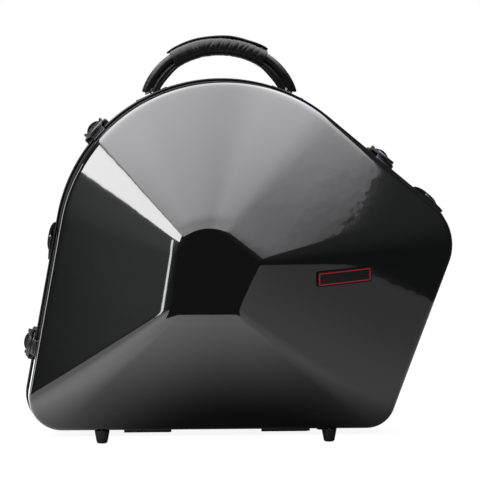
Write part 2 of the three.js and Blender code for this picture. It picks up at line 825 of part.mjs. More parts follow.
function latchLever() {
  const side = new THREE.Shape();
  const knuckleTop = leverPivotW + leverKnuckleRadius;
  const underside = leverPivotW - leverKnuckleRadius;
  side.moveTo(leverPivotV, knuckleTop);
  side.absarc(leverPivotV, leverPivotW, leverKnuckleRadius, 90 * degrees, 270 * degrees, false);
  side.lineTo(latchBaseEnd - latchFloor, underside);
  side.lineTo(leverEnd, underside + latchCheekChamfer);
  side.lineTo(leverEnd, leverTop);
  side.lineTo(hookPivotV, leverTop);
  const body = barAlongU(side, leverHalfWidth * 2);
  const slotEnd = gripStart - hookPlateThickness;
  const slot = box(
    -slotHalfWidth, slotHalfWidth, leverPivotV - cutOverrun, slotEnd, -cutOverrun, leverTop + cutOverrun);
  const tip = (start) => box(
    start, start + leverTipWidth, gripStart, leverEnd, leverTop - seatGap, leverTop + leverTipHeight);
  const tips = [tip(-leverHalfWidth), tip(leverHalfWidth - leverTipWidth)];
  const domeAngle = Math.asin(gripHalfWidth / gripDomeRadius);
  const dome = new THREE.Shape();
  dome.absarc(0, gripDomeCentreW, gripDomeRadius, 90 * degrees - domeAngle, 90 * degrees + domeAngle, false);
  dome.lineTo(-gripHalfWidth, leverTop - seatGap);
  dome.lineTo(gripHalfWidth, leverTop - seatGap);
  const length = leverHalfWidth * 2 + cutOverrun;
  return cut(
    join(cut(body, slot), ...tips, barAlongV(dome, gripStart, gripEnd)),
    rodAlongX(pinBore, length, 0, leverPivotV, leverPivotW),
    rodAlongX(pinBore, length, 0, hookPivotV, hookPivotW));
}

function latchHook() {
  const lipInner = -(keeperStart + keeperRidge + runningGap);
  const lipOuter = lipInner - hookLip;
  const lipBottom = keeperHeight + keeperPass;
  const side = new THREE.Shape();
  side.moveTo(hookPivotV, hookPlateTop);
  side.lineTo(lipOuter + hookLip / 2, hookPlateTop);
  side.lineTo(lipOuter, hookPlateTop - hookLip / 2);
  side.lineTo(lipOuter, lipBottom);
  side.lineTo(lipInner, lipBottom);
  side.lineTo(lipInner, hookPlateBottom);
  side.lineTo(hookPivotV - hookKnuckleRadius, hookPlateBottom);
  side.absarc(hookPivotV, hookPivotW, hookKnuckleRadius, 155 * degrees, 450 * degrees, false);
  return cut(
    barAlongU(side, hookHalfWidth * 2),
    rodAlongX(pinBore, hookHalfWidth * 2 + cutOverrun, 0, hookPivotV, hookPivotW));
}

function latchKeeper() {
  const ridgeEnd = keeperStart + keeperRidge;
  const chamfer = keeperPlate / 2;
  return barAlongU(polygon([
    [-keeperStart, wallAt(keeperStart) + seatGap], [-keeperStart, keeperHeight - chamfer],
    [-keeperStart - chamfer, keeperHeight], [-ridgeEnd, keeperHeight], [-ridgeEnd, keeperPlate],
    [-keeperEnd, wallAt(keeperEnd) + keeperPlate], [-keeperEnd, wallAt(keeperEnd) + seatGap],
  ]), keeperHalfWidth * 2);
}

function addLatch(name, frame) {
  place(frame, `${name}_latch_base`, latchBase(), blackNylon);
  place(frame, `${name}_latch_lever`, latchLever(), blackNylon);
  place(frame, `${name}_latch_hook`, latchHook(), blackSteel);
  place(frame, `${name}_latch_keeper`, latchKeeper(), blackSteel);
  const leverPinLength = (latchBaseHalfWidth - seatGap) * 2;
  place(frame, `${name}_lever_pin`, rodAlongX(latchPinRadius, leverPinLength, 0, 0, 0), brightSteel)
    .position.set(0, leverPivotV, leverPivotW);
  const hookPinLength = (leverHalfWidth - seatGap) * 2;
  place(frame, `${name}_hook_pin`, rodAlongX(latchPinRadius, hookPinLength, 0, 0, 0), brightSteel)
    .position.set(0, hookPivotV, hookPivotW);
}

addLatch('crown', onCrown(crownLatchAngle));
addLatch('upper_right', onSide(upperRightAngle, upperRightLatchRun, 1));
addLatch('left', onSide(leftAngle, leftLatchRun, -1));

// Handle: padded arch, wrapped grip, and a steel ring in a bracket at each end

const ringRadius = crownRadius + ringLift;
const ringX = handleHalfSpan * Math.sin(handleEndAngle);
const ringZ = Math.sqrt(ringRadius ** 2 - ringX ** 2);
const handleBaseZ = ringZ + handleEndLift - handleRise * Math.cos(handleEndAngle);

class HandleArch extends THREE.Curve {
  constructor(halfAngle) {
    super();
    this.halfAngle = halfAngle;
  }

  getPoint(share) {
    const angle = (share * 2 - 1) * this.halfAngle;
    return new THREE.Vector3(
      handleHalfSpan * Math.sin(angle), 0, handleBaseZ + handleRise * Math.cos(angle));
  }
}

function arch(shape, halfAngle, steps) {
  const extrudePath = new HandleArch(halfAngle);
  return new THREE.ExtrudeGeometry(
    shape, { steps, bevelEnabled: false, curveSegments: outlineSteps, extrudePath });
}

function disc(radius) {
  const shape = new THREE.Shape();
  shape.absarc(0, 0, radius, 0, 360 * degrees, false);
  return shape;
}

// Thins the arch across the case towards both ends
function taperedEnds(geometry) {
  const { position } = geometry.attributes;
  const endZ = handleBaseZ + handleRise * Math.cos(handleEndAngle);
  for (let index = 0; index < position.count; index += 1) {
    const rise = Math.min(Math.max((position.getZ(index) - endZ) / handleTaperHeight, 0), 1);
    position.setY(index, position.getY(index) * (handleFlatShare + (1 - handleFlatShare) * rise));
  }
  return geometry;
}

// A ring in the XZ plane, its short lower bar on the swing axis
function handleRing(wire, x) {
  const half = ringWidth / 2;
  const wide = half + ringFlare;
  const corners = [
    [-half, 0], [0, 0], [half, 0], [wide, ringHeight], [0, ringHeight], [-wide, ringHeight],
  ];
  const curve = new THREE.CatmullRomCurve3(
    corners.map(([a, b]) => new THREE.Vector3(x + a, 0, ringZ + b)), true, 'catmullrom', wireTension);
  return new THREE.TubeGeometry(curve, handleRingSteps, wire, wireSides, true);
}

const handle = new THREE.Group();
handle.position.set(caseX + handleShiftX, handleAxisY, crownZ);
hornCase.add(handle);
const sleeve = disc(gripSleeveRadius);
sleeve.holes.push(new THREE.Path().absarc(0, 0, handleArmRadius + seatGap, 0, 360 * degrees, true));
place(handle, 'handle_body', cut(
  taperedEnds(arch(disc(handleArmRadius), handleEndAngle, armSteps)),
  handleRing(ringWire + runningGap, -ringX), handleRing(ringWire + runningGap, ringX)), leatherette);
place(handle, 'handle_grip', arch(sleeve, gripSleeveAngle, sleeveSteps), leatherette);
place(handle, 'handle_left_ring', handleRing(ringWire, -ringX), blackSteel);
place(handle, 'handle_right_ring', handleRing(ringWire, ringX), blackSteel);

// The bracket is a plate along the rim with an upright eye that the ring's lower bar runs through
function handleBracket(sign) {
  const x = handleShiftX + sign * ringX;
  const angle = Math.atan2(ringZ, x);
  const frame = rimFrame(crownRadius * Math.cos(angle), crownRadius * Math.sin(angle), angle);
  const eyeHeight = Math.hypot(x, ringZ) - crownRadius;
  const seat = (v) => wallAt(v) + seatGap;
  const under = [[bracketStart, seat(bracketStart)], [bracketEnd, seat(bracketEnd)]];
  const plate = barAlongU(polygon([
    ...under, [bracketEnd, seat(bracketEnd) + bracketPlate / 2],
    [bracketEnd - bracketPlate, seat(bracketEnd) + bracketPlate],
    [bracketStart, seat(bracketStart) + bracketPlate],
  ]), bracketLength);
  const below = barAlongU(polygon([
    ...under, [bracketEnd, -cutOverrun * 2], [bracketStart, -cutOverrun * 2],
  ]), bracketLength);
  const windowWidth = (bracketWindow - bracketEyeWidth) / 2;
  const windows = [-bracketWindow / 2, bracketEyeWidth / 2].map((start) => box(
    start, start + windowWidth, handleAxisY - bracketWindow / 2, handleAxisY + bracketWindow / 2,
    -cutOverrun * 2, cutOverrun * 2));
  const rib = box(
    -bracketEyeWidth / 2, bracketEyeWidth / 2, handleAxisY - bracketEyeRadius,
    handleAxisY + bracketEyeRadius, -cutOverrun, eyeHeight);
  const eye = rodAlongX(bracketEyeRadius, bracketEyeWidth, 0, handleAxisY, eyeHeight);
  const bore = rodAlongX(ringWire + runningGap, bracketEyeWidth + cutOverrun, 0, 0, 0)
    .applyMatrix4(new THREE.Matrix4().makeRotationY(angle - 90 * degrees))
    .translate(0, handleAxisY, eyeHeight);
  return { frame, geometry: cut(join(cut(plate, ...windows), rib, eye), below, bore) };
}

for (const [hand, sign] of [['left', -1], ['right', 1]]) {
  const bracket = handleBracket(sign);
  place(bracket.frame, `handle_${hand}_bracket`, bracket.geometry, blackNylon);
}

// Strap lugs with a swinging ring each; towards is 1 where the ring lies clockwise of its pin

function strapLug() {
  const half = lugLength / 2;
  const radius = (half ** 2 + lugHeight ** 2) / (2 * lugHeight);
  const angle = Math.asin(half / radius);
  const dome = new THREE.Shape();
  dome.absarc(0, lugHeight - radius, radius, 90 * degrees - angle, 90 * degrees + angle, false);
  dome.lineTo(-half, -cutOverrun);
  dome.lineTo(half, -cutOverrun);
  const step = rimWidth + seatGap;
  const far = lugEnd + cutOverrun;
  const under = barAlongU(polygon([
    [0, rimProud + seatGap], [0, -cutOverrun * 2], [far, -cutOverrun * 2], [far, wallAt(far) + seatGap],
    [step, wallAt(step) + seatGap], [step, rimProud + seatGap],
  ]), lugLength + cutOverrun);
  const bore = rodAlongY(strapWire + runningGap, lugEnd * 2, 0, lugEnd, lugPinW, pinSides);
  return cut(barAlongV(dome, lugStart, lugEnd), under, bore);
}

function strapRing(towards) {
  const start = lugStart - runningGap * 2 - strapWire;
  const end = lugEnd + runningGap * 2 + strapWire;
  const rounding = strapWire * 2.5;
  const reach = towards * strapRingReach;
  const soften = towards * rounding;
  const corners = [
    [0, start], [0, (start + end) / 2], [0, end], [soften, end], [reach - soften, end],
    [reach, end - rounding], [reach, start + rounding], [reach - soften, start], [soften, start],
  ];
  const curve = new THREE.CatmullRomCurve3(
    corners.map(([u, v]) => new THREE.Vector3(u, v, 0)), true, 'catmullrom', wireTension);
  return new THREE.TubeGeometry(curve, strapRingSteps, strapWire, wireSides, true);
}

function addLug(name, frame, towards) {
  place(frame, `${name}_strap_lug`, strapLug(), blackNylon);
  place(frame, `${name}_strap_ring`, strapRing(towards), brightSteel).position.set(0, 0, lugPinW);
}

addLug('left', onSide(leftAngle, leftLugRun, -1), -1);
addLug('right', onSide(upperRightAngle, upperRightLugRun, 1), 1);

// Badge plate, blank, on the sloping face between the plateau and the nose side

function roundedRectangle(width, height, radius) {
  const shape = new THREE.Shape();
  const a = width / 2 - radius;
  const b = height / 2 - radius;
  shape.absarc(a, b, radius, 0, 90 * degrees, false);
  shape.absarc(-a, b, radius, 90 * degrees, 180 * degrees, false);
  shape.absarc(-a, -b, radius, 180 * degrees, 270 * degrees, false);
  shape.absarc(a, -b, radius, 270 * degrees, 360 * degrees, false);
  return shape;
}

function flat(shape, start, end) {
  return new THREE.ExtrudeGeometry(
    shape, { depth: end - start, bevelEnabled: false, curveSegments: cornerSteps })
    .translate(0, 0, start);
}

function badgePlate() {
  const rimTop = badgeThickness + badgeRimHeight;
  const inner = roundedRectangle(
    badgeLength - badgeRimWidth * 2, badgeHeight - badgeRimWidth * 2, badgeCorner - badgeRimWidth / 2);
  const body = flat(roundedRectangle(badgeLength, badgeHeight, badgeCorner), 0, rimTop);
  return cut(body, flat(inner, badgeThickness, rimTop + cutOverrun));
}

function badgeFrame() {
  const noseStart = [crownSteps, tailSteps, heelSteps].reduce((sum, steps) => sum + steps + 1, 0);
  const edge = edgeRing(0, 0, -1);
  const plateau = plateauRing(0, 0, -1);
  const spot = (across, along) => {
    const points = faceRing(plateau, edge, across, -1);
    return points[noseStart].clone().lerp(points[noseStart - 1], along);
  };
  const centre = spot(badgeAcrossShare, badgeAlongShare);
  const right = spot(badgeAcrossShare + badgeSlopeShare, badgeAlongShare).sub(centre);
  const down = spot(badgeAcrossShare, badgeAlongShare + badgeSlopeShare).sub(centre);
  const outward = new THREE.Vector3().crossVectors(down, right).normalize();
  const level = new THREE.Vector3(0, 0, 1).cross(outward).normalize();
  const up = new THREE.Vector3().crossVectors(outward, level);
  const frame = new THREE.Group();
  frame.matrixAutoUpdate = false;
  frame.matrix.makeBasis(level, up, outward).setPosition(centre.addScaledVector(outward, seatGap * 2))
    .multiply(new THREE.Matrix4().makeRotationZ(badgeTilt));
  hornCase.add(frame);
  return frame;
}

place(badgeFrame(), 'badge_plate', badgePlate(), badgeBlack);

export default hornCase;
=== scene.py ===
import json
import math

import bmesh
import bpy
from mathutils import Matrix, Vector

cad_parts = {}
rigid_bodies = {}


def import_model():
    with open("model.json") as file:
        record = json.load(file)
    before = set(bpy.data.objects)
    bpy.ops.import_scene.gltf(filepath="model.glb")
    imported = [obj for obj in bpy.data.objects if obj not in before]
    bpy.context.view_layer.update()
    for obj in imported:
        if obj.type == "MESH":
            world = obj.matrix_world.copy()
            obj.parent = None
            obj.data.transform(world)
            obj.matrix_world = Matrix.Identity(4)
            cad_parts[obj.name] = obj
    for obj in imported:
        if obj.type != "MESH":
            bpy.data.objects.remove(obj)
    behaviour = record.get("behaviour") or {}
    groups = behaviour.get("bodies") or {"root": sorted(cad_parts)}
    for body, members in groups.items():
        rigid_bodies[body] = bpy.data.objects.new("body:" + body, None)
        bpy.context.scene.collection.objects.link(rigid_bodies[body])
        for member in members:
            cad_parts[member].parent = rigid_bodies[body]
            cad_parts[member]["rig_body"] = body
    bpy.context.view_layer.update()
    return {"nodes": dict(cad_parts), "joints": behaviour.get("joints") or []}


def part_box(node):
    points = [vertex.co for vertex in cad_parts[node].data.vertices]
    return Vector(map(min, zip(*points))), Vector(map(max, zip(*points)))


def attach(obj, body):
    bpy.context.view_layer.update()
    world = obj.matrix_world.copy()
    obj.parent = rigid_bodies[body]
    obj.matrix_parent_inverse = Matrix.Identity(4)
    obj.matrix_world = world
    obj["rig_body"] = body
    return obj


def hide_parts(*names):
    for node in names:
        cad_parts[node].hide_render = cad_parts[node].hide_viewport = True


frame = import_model()
bpy.ops.object.select_all(action="DESELECT")

# Camera
# A long lens stands a little to the left of square on and a little above the middle of the case,
# so both halves of the rim and the top of the crown just show.

MM = 0.001
CAMERA_AZIMUTH = -3.5
CAMERA_HEIGHT_ANGLE = 4
CAMERA_DISTANCE = 3800 * MM
CAMERA_TARGET = Vector((4.6, 0, 263.2)) * MM
VIEW_WIDTH = 640.6 * MM
SENSOR = 36


def direction(azimuth, height_angle):
    """A direction from the case, in degrees to the right of its front and up."""
    a = math.radians(azimuth)
    h = math.radians(height_angle)
    return Vector((math.sin(a) * math.cos(h), -math.cos(a) * math.cos(h), math.sin(h)))


camera_data = bpy.data.cameras.new("camera")
camera_data.sensor_width = SENSOR
camera_data.lens = SENSOR * CAMERA_DISTANCE / VIEW_WIDTH
camera = bpy.data.objects.new("camera", camera_data)
bpy.context.scene.collection.objects.link(camera)
away = direction(CAMERA_AZIMUTH, CAMERA_HEIGHT_ANGLE)
camera.location = CAMERA_TARGET + away * CAMERA_DISTANCE
camera.rotation_euler = (-away).to_track_quat("-Z", "Y").to_euler()
bpy.context.scene.camera = camera
bpy.context.scene.view_settings.view_transform = "Standard"

# Shells
# Each half is thermoformed from one black polycarbonate sheet with a clear gloss film. A low
# drafted wall turns over a tight edge into sloping faces, and these rise to a small flat plateau.

MIDDLE_FOOT_TO_CROWN = 161 * MM
left_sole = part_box("front_left_foot")
CROWN_X = (left_sole[0].x + left_sole[1].x) / 2 + MIDDLE_FOOT_TO_CROWN
CROWN_Z = 256.1 * MM
SEAM_SHAPE = {
    "x": 0, "z": 0, "crown": 221, "drop": 240.7, "reach": 287.1,
    "tail": 46, "heel": 41, "nose": 67, "left": 169.6, "nose_side": 339.5, "upper_right": 50.33,
}
PLATEAU_SHAPE = {
    "x": -26.7, "z": -5.2, "crown": 41.2, "drop": 73.1, "reach": 66.6,
    "tail": 12, "heel": 12, "nose": 8, "left": 173, "nose_side": 336.8, "upper_right": 51.6,
}
SMALLEST_CORNER = 2
STRAIGHT_STEPS = 26
ARC_STEPS = {"crown": 76, "tail": 26, "heel": 26, "nose": 34}
WALL = 3
WALL_DEPTH = 72
WALL_SET_IN = 3
LIP_DEPTH = 3
EDGE_FILLET = 7
PLATEAU_DEPTH = 173
PLATEAU_FILLET = 17
FACE_BULGE = 2.5
FACE_STEPS = 24
FILLET_STEPS = 10
PLATEAU_SHARES = (0.4, 0.8)
INNER_FACE_SHARES = (0.25, 0.5, 0.75)
SHELL_SMOOTH = 50
DOWN = 270


def corner_centre(shape, angle_a, distance_a, angle_b, distance_b):
    """Where two lines meet, each given by its normal's angle and its distance from the middle."""
    a = math.radians(angle_a)
    b = math.radians(angle_b)
    spread = math.sin(b - a)
    x = (distance_a * math.sin(b) - distance_b * math.sin(a)) / spread
    z = (distance_b * math.cos(a) - distance_a * math.cos(b)) / spread
    return shape["x"] + x, shape["z"] + z


def on_circle(centre, radius, degrees):
    angle = math.radians(degrees)
    return centre[0] + radius * math.cos(angle), centre[1] + radius * math.sin(angle)


def outline(shape, inset):
    """The outline drawn in by an inset, as (x, z) points in mm, round from the upper right."""
    crown, drop, reach = (shape[key] - inset for key in ("crown", "drop", "reach"))
    tail, heel, nose = (
        max(shape[key] - inset, SMALLEST_CORNER) for key in ("tail", "heel", "nose"))
    left, nose_side, upper_right = shape["left"], shape["nose_side"], shape["upper_right"]
    arcs = [
        ((shape["x"], shape["z"]), crown, upper_right, left, ARC_STEPS["crown"]),
        (corner_centre(shape, left, crown - tail, DOWN, drop - tail),
         tail, left, DOWN, ARC_STEPS["tail"]),
        (corner_centre(shape, DOWN, drop - heel, nose_side, reach - heel),
         heel, DOWN, nose_side, ARC_STEPS["heel"]),
        (corner_centre(shape, nose_side, reach - nose, upper_right, crown - nose),
         nose, nose_side, upper_right + 360, ARC_STEPS["nose"]),
    ]
    points = []
    for number, (centre, radius, start, end, steps) in enumerate(arcs):
        for step in range(steps + 1):
            points.append(on_circle(centre, radius, start + (end - start) * step / steps))
        here = points[-1]
        there = on_circle(*arcs[(number + 1) % len(arcs)][:3])
        for step in range(1, STRAIGHT_STEPS):
            share = step / STRAIGHT_STEPS
            points.append((here[0] + (there[0] - here[0]) * share,
                           here[1] + (there[1] - here[1]) * share))
    return points


def outline_ring(shape, inset, depth, side):
    """The outline at a depth from the seam, as points in metres. Side is -1 for the front half
    and 1 for the back."""
    return [Vector((CROWN_X + x * MM, side * depth * MM, CROWN_Z + z * MM))
            for x, z in outline(shape, inset)]


def between(ring_a, ring_b, share):
    return [a.lerp(b, share) for a, b in zip(ring_a, ring_b)]


def rounded(before, corner, after):
    """Rings that turn from one slope to the next over a corner ring."""
    rings = []
    for step in range(FILLET_STEPS + 1):
        share = step / FILLET_STEPS
        rings.append(between(between(before, corner, share), between(corner, after, share), share))
    return rings


def sloping(edge, plateau, share, side):
    """A ring on the slightly bulging face, a share of the way from its edge to the plateau."""
    lift = Vector((0, side * FACE_BULGE * 4 * share * (1 - share) * MM, 0))
    return [point + lift for point in between(edge, plateau, share)]


def skin(name, rings, comes_back=False):
    """A mesh over a row of rings. Rings of one point close its ends, or else the row comes back
    to its first ring."""
    mesh = bpy.data.meshes.new(name)
    piece = bpy.data.objects.new(name, mesh)
    bpy.context.scene.collection.objects.link(piece)
    shape = bmesh.new()
    rows = [[shape.verts.new(point) for point in ring] for ring in rings]
    pairs = list(zip(rows, rows[1:]))
    if comes_back:
        pairs.append((rows[-1], rows[0]))
    for row_a, row_b in pairs:
        count = max(len(row_a), len(row_b))
        for index in range(count):
            after = (index + 1) % count
            if len(row_a) == 1:
                shape.faces.new((row_a[0], row_b[index], row_b[after]))
            elif len(row_b) == 1:
                shape.faces.new((row_a[index], row_b[0], row_a[after]))
            else:
                shape.faces.new((row_a[index], row_b[index], row_b[after], row_a[after]))
    bmesh.ops.recalc_face_normals(shape, faces=shape.faces)
    if shape.calc_volume(signed=True) < 0:
        bmesh.ops.reverse_faces(shape, faces=shape.faces)
    shape.to_mesh(mesh)
    shape.free()
    return piece


def middle(ring):
    return [sum(ring, Vector()) / len(ring)]


def select_only(*pieces):
    bpy.ops.object.select_all(action="DESELECT")
    for piece in pieces:
        piece.select_set(True)
    bpy.context.view_layer.objects.active = pieces[0]


def smooth(piece, degrees):
    select_only(piece)
    bpy.ops.object.shade_smooth_by_angle(angle=math.radians(degrees))


def shell(name, side):
    """One half's shell: its outside from the lip to the plateau, and its inside a wall deeper."""
    face_length = SEAM_SHAPE["crown"] - PLATEAU_SHAPE["crown"]
    lip_inset = WALL_SET_IN * LIP_DEPTH / WALL_DEPTH
    wall_top = WALL_DEPTH - EDGE_FILLET
    edge = outline_ring(SEAM_SHAPE, WALL_SET_IN, WALL_DEPTH, side)
    plateau = outline_ring(PLATEAU_SHAPE, 0, PLATEAU_DEPTH, side)
    rings = [outline_ring(SEAM_SHAPE, lip_inset, LIP_DEPTH, side)]
    wall_ring = outline_ring(SEAM_SHAPE, WALL_SET_IN * wall_top / WALL_DEPTH, wall_top, side)
    rings.append(between(rings[0], wall_ring, 0.5))
    start = EDGE_FILLET / face_length
    end = 1 - PLATEAU_FILLET / face_length
    rings.extend(rounded(wall_ring, edge, sloping(edge, plateau, start, side)))
    for step in range(1, FACE_STEPS):
        share = start + (end - start) * step / FACE_STEPS
        rings.append(sloping(edge, plateau, share, side))
    plateau_start = outline_ring(PLATEAU_SHAPE, PLATEAU_FILLET / 2, PLATEAU_DEPTH, side)
    rings.extend(rounded(sloping(edge, plateau, end, side), plateau, plateau_start))
    centre = middle(plateau_start)
    for share in PLATEAU_SHARES:
        rings.append([point.lerp(centre[0], share) for point in plateau_start])
    rings.append(centre)
    inner_edge = outline_ring(SEAM_SHAPE, WALL_SET_IN + WALL, WALL_DEPTH - WALL, side)
    inner_plateau = outline_ring(PLATEAU_SHAPE, WALL, PLATEAU_DEPTH - WALL, side)
    inner = [outline_ring(SEAM_SHAPE, WALL + lip_inset, LIP_DEPTH, side), inner_edge]
    for share in INNER_FACE_SHARES:
        inner.append(sloping(inner_edge, inner_plateau, share, side))
    inner.append(inner_plateau)
    inner.append(middle(inner_plateau))
    piece = skin(name, list(reversed(inner)) + rings)
    smooth(piece, SHELL_SMOOTH)
    return piece


front_skin = shell("front_case_shell", -1)
back_skin = shell("back_case_shell", 1)


def linear(hex_colour):
    """sRGB hex to the linear colour that a shader socket takes."""
    parts = [int(hex_colour[start:start + 2], 16) / 255 for start in (1, 3, 5)]
    return tuple(p / 12.92 if p <= 0.04045 else ((p + 0.055) / 1.055) ** 2.4 for p in parts) + (1,)


def add_node(tree, kind, inputs=(), into=None, **settings):
    """Adds a node. An input is either a value or the output that it is linked to, and the node's
    first output can go into a socket."""
    node = tree.nodes.new(kind)
    for key, value in settings.items():
        setattr(node, key, value)
    for key, value in dict(inputs).items():
        if isinstance(value, bpy.types.NodeSocket):
            tree.links.new(value, node.inputs[key])
        else:
            node.inputs[key].default_value = value
    if into is not None:
        tree.links.new(node.outputs[0], into)
    return node


def start_material(name, colour, roughness, metallic=0.0, ior=1.5, more=()):
    material = bpy.data.materials.new(name)
    material.use_nodes = True
    tree = material.node_tree
    shader = tree.nodes["Principled BSDF"]
    values = {
        "Base Color": linear(colour), "Roughness": roughness, "Metallic": metallic, "IOR": ior}
    for key, value in (values | dict(more)).items():
        shader.inputs[key].default_value = value
    where = add_node(tree, "ShaderNodeTexCoord").outputs["Object"]
    return material, tree, shader, where


def dress(material, slot, *pieces):
    for piece in pieces:
        piece.data.materials.clear()
        piece.data.materials.append(material)


# Thermoformed polycarbonate under a clear gloss film: near black, mirror-like, with the slight
# waviness of a sheet that was drawn over a mould, which frays the edges of what it reflects.
FILM_WAVE = 15 * MM
SHEET_WAVE = 90 * MM
gloss_film, tree, shader, where = start_material(
    "gloss_filmed_polycarbonate", "#0c0c0e", 0.07, ior=1.585,
    more={"Coat Weight": 1.0, "Coat IOR": 1.5, "Coat Roughness": 0.02})
film_wave = add_node(tree, "ShaderNodeTexNoise", {
    "Vector": where, "Scale": 1 / FILM_WAVE, "Detail": 1.5})
sheet_wave = add_node(tree, "ShaderNodeTexNoise", {
    "Vector": where, "Scale": 1 / SHEET_WAVE, "Detail": 0.0})
film_bump = add_node(tree, "ShaderNodeBump", {
    "Height": film_wave.outputs[0], "Distance": 0.04 * MM, "Strength": 1.0})
sheet_bump = add_node(tree, "ShaderNodeBump", {
    "Height": sheet_wave.outputs[0], "Distance": 0.3 * MM, "Strength": 1.0,
    "Normal": film_bump.outputs[0]})
tree.links.new(sheet_bump.outputs[0], shader.inputs["Normal"])
tree.links.new(sheet_bump.outputs[0], shader.inputs["Coat Normal"])
dress(gloss_film, "gloss_shell", front_skin, back_skin)
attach(front_skin, "front_half")
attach(back_skin, "back_half")
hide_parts("front_shell")
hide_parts("back_shell")

# Rims and seal
# A black anodised aluminium extrusion is bent round each shell's edge and clamps it. The back one
# has a tongue that presses into a rubber seal in the front one. Both have a shallow groove outside.
# Sections are (inset, depth) points in mm, from the shell's outline and from the seam.

RIM_BEAD = [
    (-0.3, 12.0), (-1.2, 12.0), (-1.6, 11.8), (-1.8, 11.3), (-1.8, 8.2), (-1.45, 7.8), (-1.45, 7.2),
    (-1.8, 6.8), (-1.8, 1.0), (-1.6, 0.5), (-1.1, 0.3),
]
RIM_CHANNEL = [(5.3, 12.0), (3.8, 12.0), (3.8, 2.7), (-0.3, 2.7)]
BACK_TONGUE = [(6.8, 0.3), (6.8, -4.0), (8.4, -4.0), (8.4, 2.7), (5.3, 2.7)]
FRONT_LEDGE = [(5.3, 0.3), (5.3, 7.8), (10.4, 7.8), (10.4, 9.3), (5.3, 9.3)]
SEAL_STRIP = [
    (5.6, 4.7), (5.8, 4.5), (7.4, 4.5), (7.6, 4.8), (7.8, 4.5), (9.9, 4.5), (10.1, 4.7),
    (10.1, 7.5), (5.6, 7.5),
]
RIM_SMOOTH = 40


def swept_round(name, section, side):
    rings = [outline_ring(SEAM_SHAPE, inset, depth, side) for inset, depth in section]
    piece = skin(name, rings, comes_back=True)
    smooth(piece, RIM_SMOOTH)
    return piece


back_edge = swept_round("back_case_rim", RIM_CHANNEL + RIM_BEAD + BACK_TONGUE, 1)
front_edge = swept_round("front_case_rim", RIM_CHANNEL + RIM_BEAD + FRONT_LEDGE, -1)
seal_strip = swept_round("rim_seal_strip", SEAL_STRIP, -1)

# Anodised aluminium, extruded and etched: satin black with a faint cloud in its shine.
ETCH_CLOUD = 2 * MM
anodised, tree, shader, where = start_material("anodised_aluminium", "#101012", 0.32)
grain = add_node(tree, "ShaderNodeTexNoise", {
    "Vector": where, "Scale": 1 / ETCH_CLOUD, "Detail": 3.0})
add_node(tree, "ShaderNodeMapRange", {
    "Value": grain.outputs[0], "To Min": 0.26, "To Max": 0.4}, shader.inputs["Roughness"])
dress(anodised, "black_rim", back_edge, front_edge)
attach(back_edge, "back_half")
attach(front_edge, "front_half")
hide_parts("back_rim")
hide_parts("front_rim")

# Rubber, moulded: matt and slightly dusty.
DUST = 0.8 * MM
rubber, tree, shader, where = start_material("moulded_rubber", "#141415", 0.6, ior=1.52)
grain = add_node(tree, "ShaderNodeTexNoise", {"Vector": where, "Scale": 1 / DUST, "Detail": 2.0})
add_node(tree, "ShaderNodeBump", {
    "Height": grain.outputs[0], "Distance": 0.05 * MM, "Strength": 0.6}, shader.inputs["Normal"])
dress(rubber, "black_rubber", seal_strip)
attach(seal_strip, "front_half")
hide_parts("rim_seal")

# Feet
# Four moulded rubber feet taper towards the floor. One steel screw holds each to the shell's
# bottom, sunk deep in a well in the sole.

SAME_POINT = 0.005 * MM
EDGE_ANGLE = 30
MOULDED_SMOOTH = 38


def finish(piece, kind, **settings):
    """Adds a modifier to the active piece and applies it."""
    modifier = piece.modifiers.new(kind.lower(), kind)
    for key, value in settings.items():
        setattr(modifier, key, value)
    bpy.ops.object.modifier_apply(modifier=modifier.name)


def round_edges(piece, width, segments=3):
    """Rounds the active piece's edges by a width in mm."""
    finish(piece, "BEVEL", width=width * MM, segments=segments, limit_method="ANGLE",
           angle_limit=math.radians(EDGE_ANGLE))


def moulded(node, name, rounding, flat=1.0):
    """A copy of a CAD node with its triangles joined into flats and its edges rounded, in mm."""
    piece = bpy.data.objects.new(name, frame["nodes"][node].data.copy())
    bpy.context.scene.collection.objects.link(piece)
    select_only(piece)
    bpy.ops.object.mode_set(mode="EDIT")
    bpy.ops.mesh.select_all(action="SELECT")
    bpy.ops.mesh.remove_doubles(threshold=SAME_POINT)
    bpy.ops.mesh.dissolve_limited(angle_limit=math.radians(flat))
    bpy.ops.object.mode_set(mode="OBJECT")
    if rounding:
        round_edges(piece, rounding)
    smooth(piece, MOULDED_SMOOTH)
    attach(piece, frame["nodes"][node]["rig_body"])
    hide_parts(node)
    return piece


# Zinc-plated steel: bright, with the faint cloud of the plating.
PLATING_CLOUD = 3 * MM
bright_steel, tree, shader, where = start_material(
    "zinc_plated_steel", "#c3c4c8", 0.24, metallic=1.0)
cloud = add_node(tree, "ShaderNodeTexNoise", {
    "Vector": where, "Scale": 1 / PLATING_CLOUD, "Detail": 3.0})
add_node(tree, "ShaderNodeMapRange", {
    "Value": cloud.outputs[0], "To Min": 0.18, "To Max": 0.36}, shader.inputs["Roughness"])

for half in ("front", "back"):
    for hand in ("left", "right"):
        foot = moulded(f"{half}_{hand}_foot", f"{half}_{hand}_rubber_foot", rounding=1.3)
        dress(rubber, "black_rubber", foot)
        screw = moulded(f"{half}_{hand}_foot_screw", f"{half}_{hand}_foot_pan_screw", rounding=0.3)
        dress(bright_steel, "bright_steel", screw)

# Hinges
# Two stamped steel hinges lie along the bottom edge. Each leaf is riveted to its half's rim and
# rolled into knuckles round a plain pin.

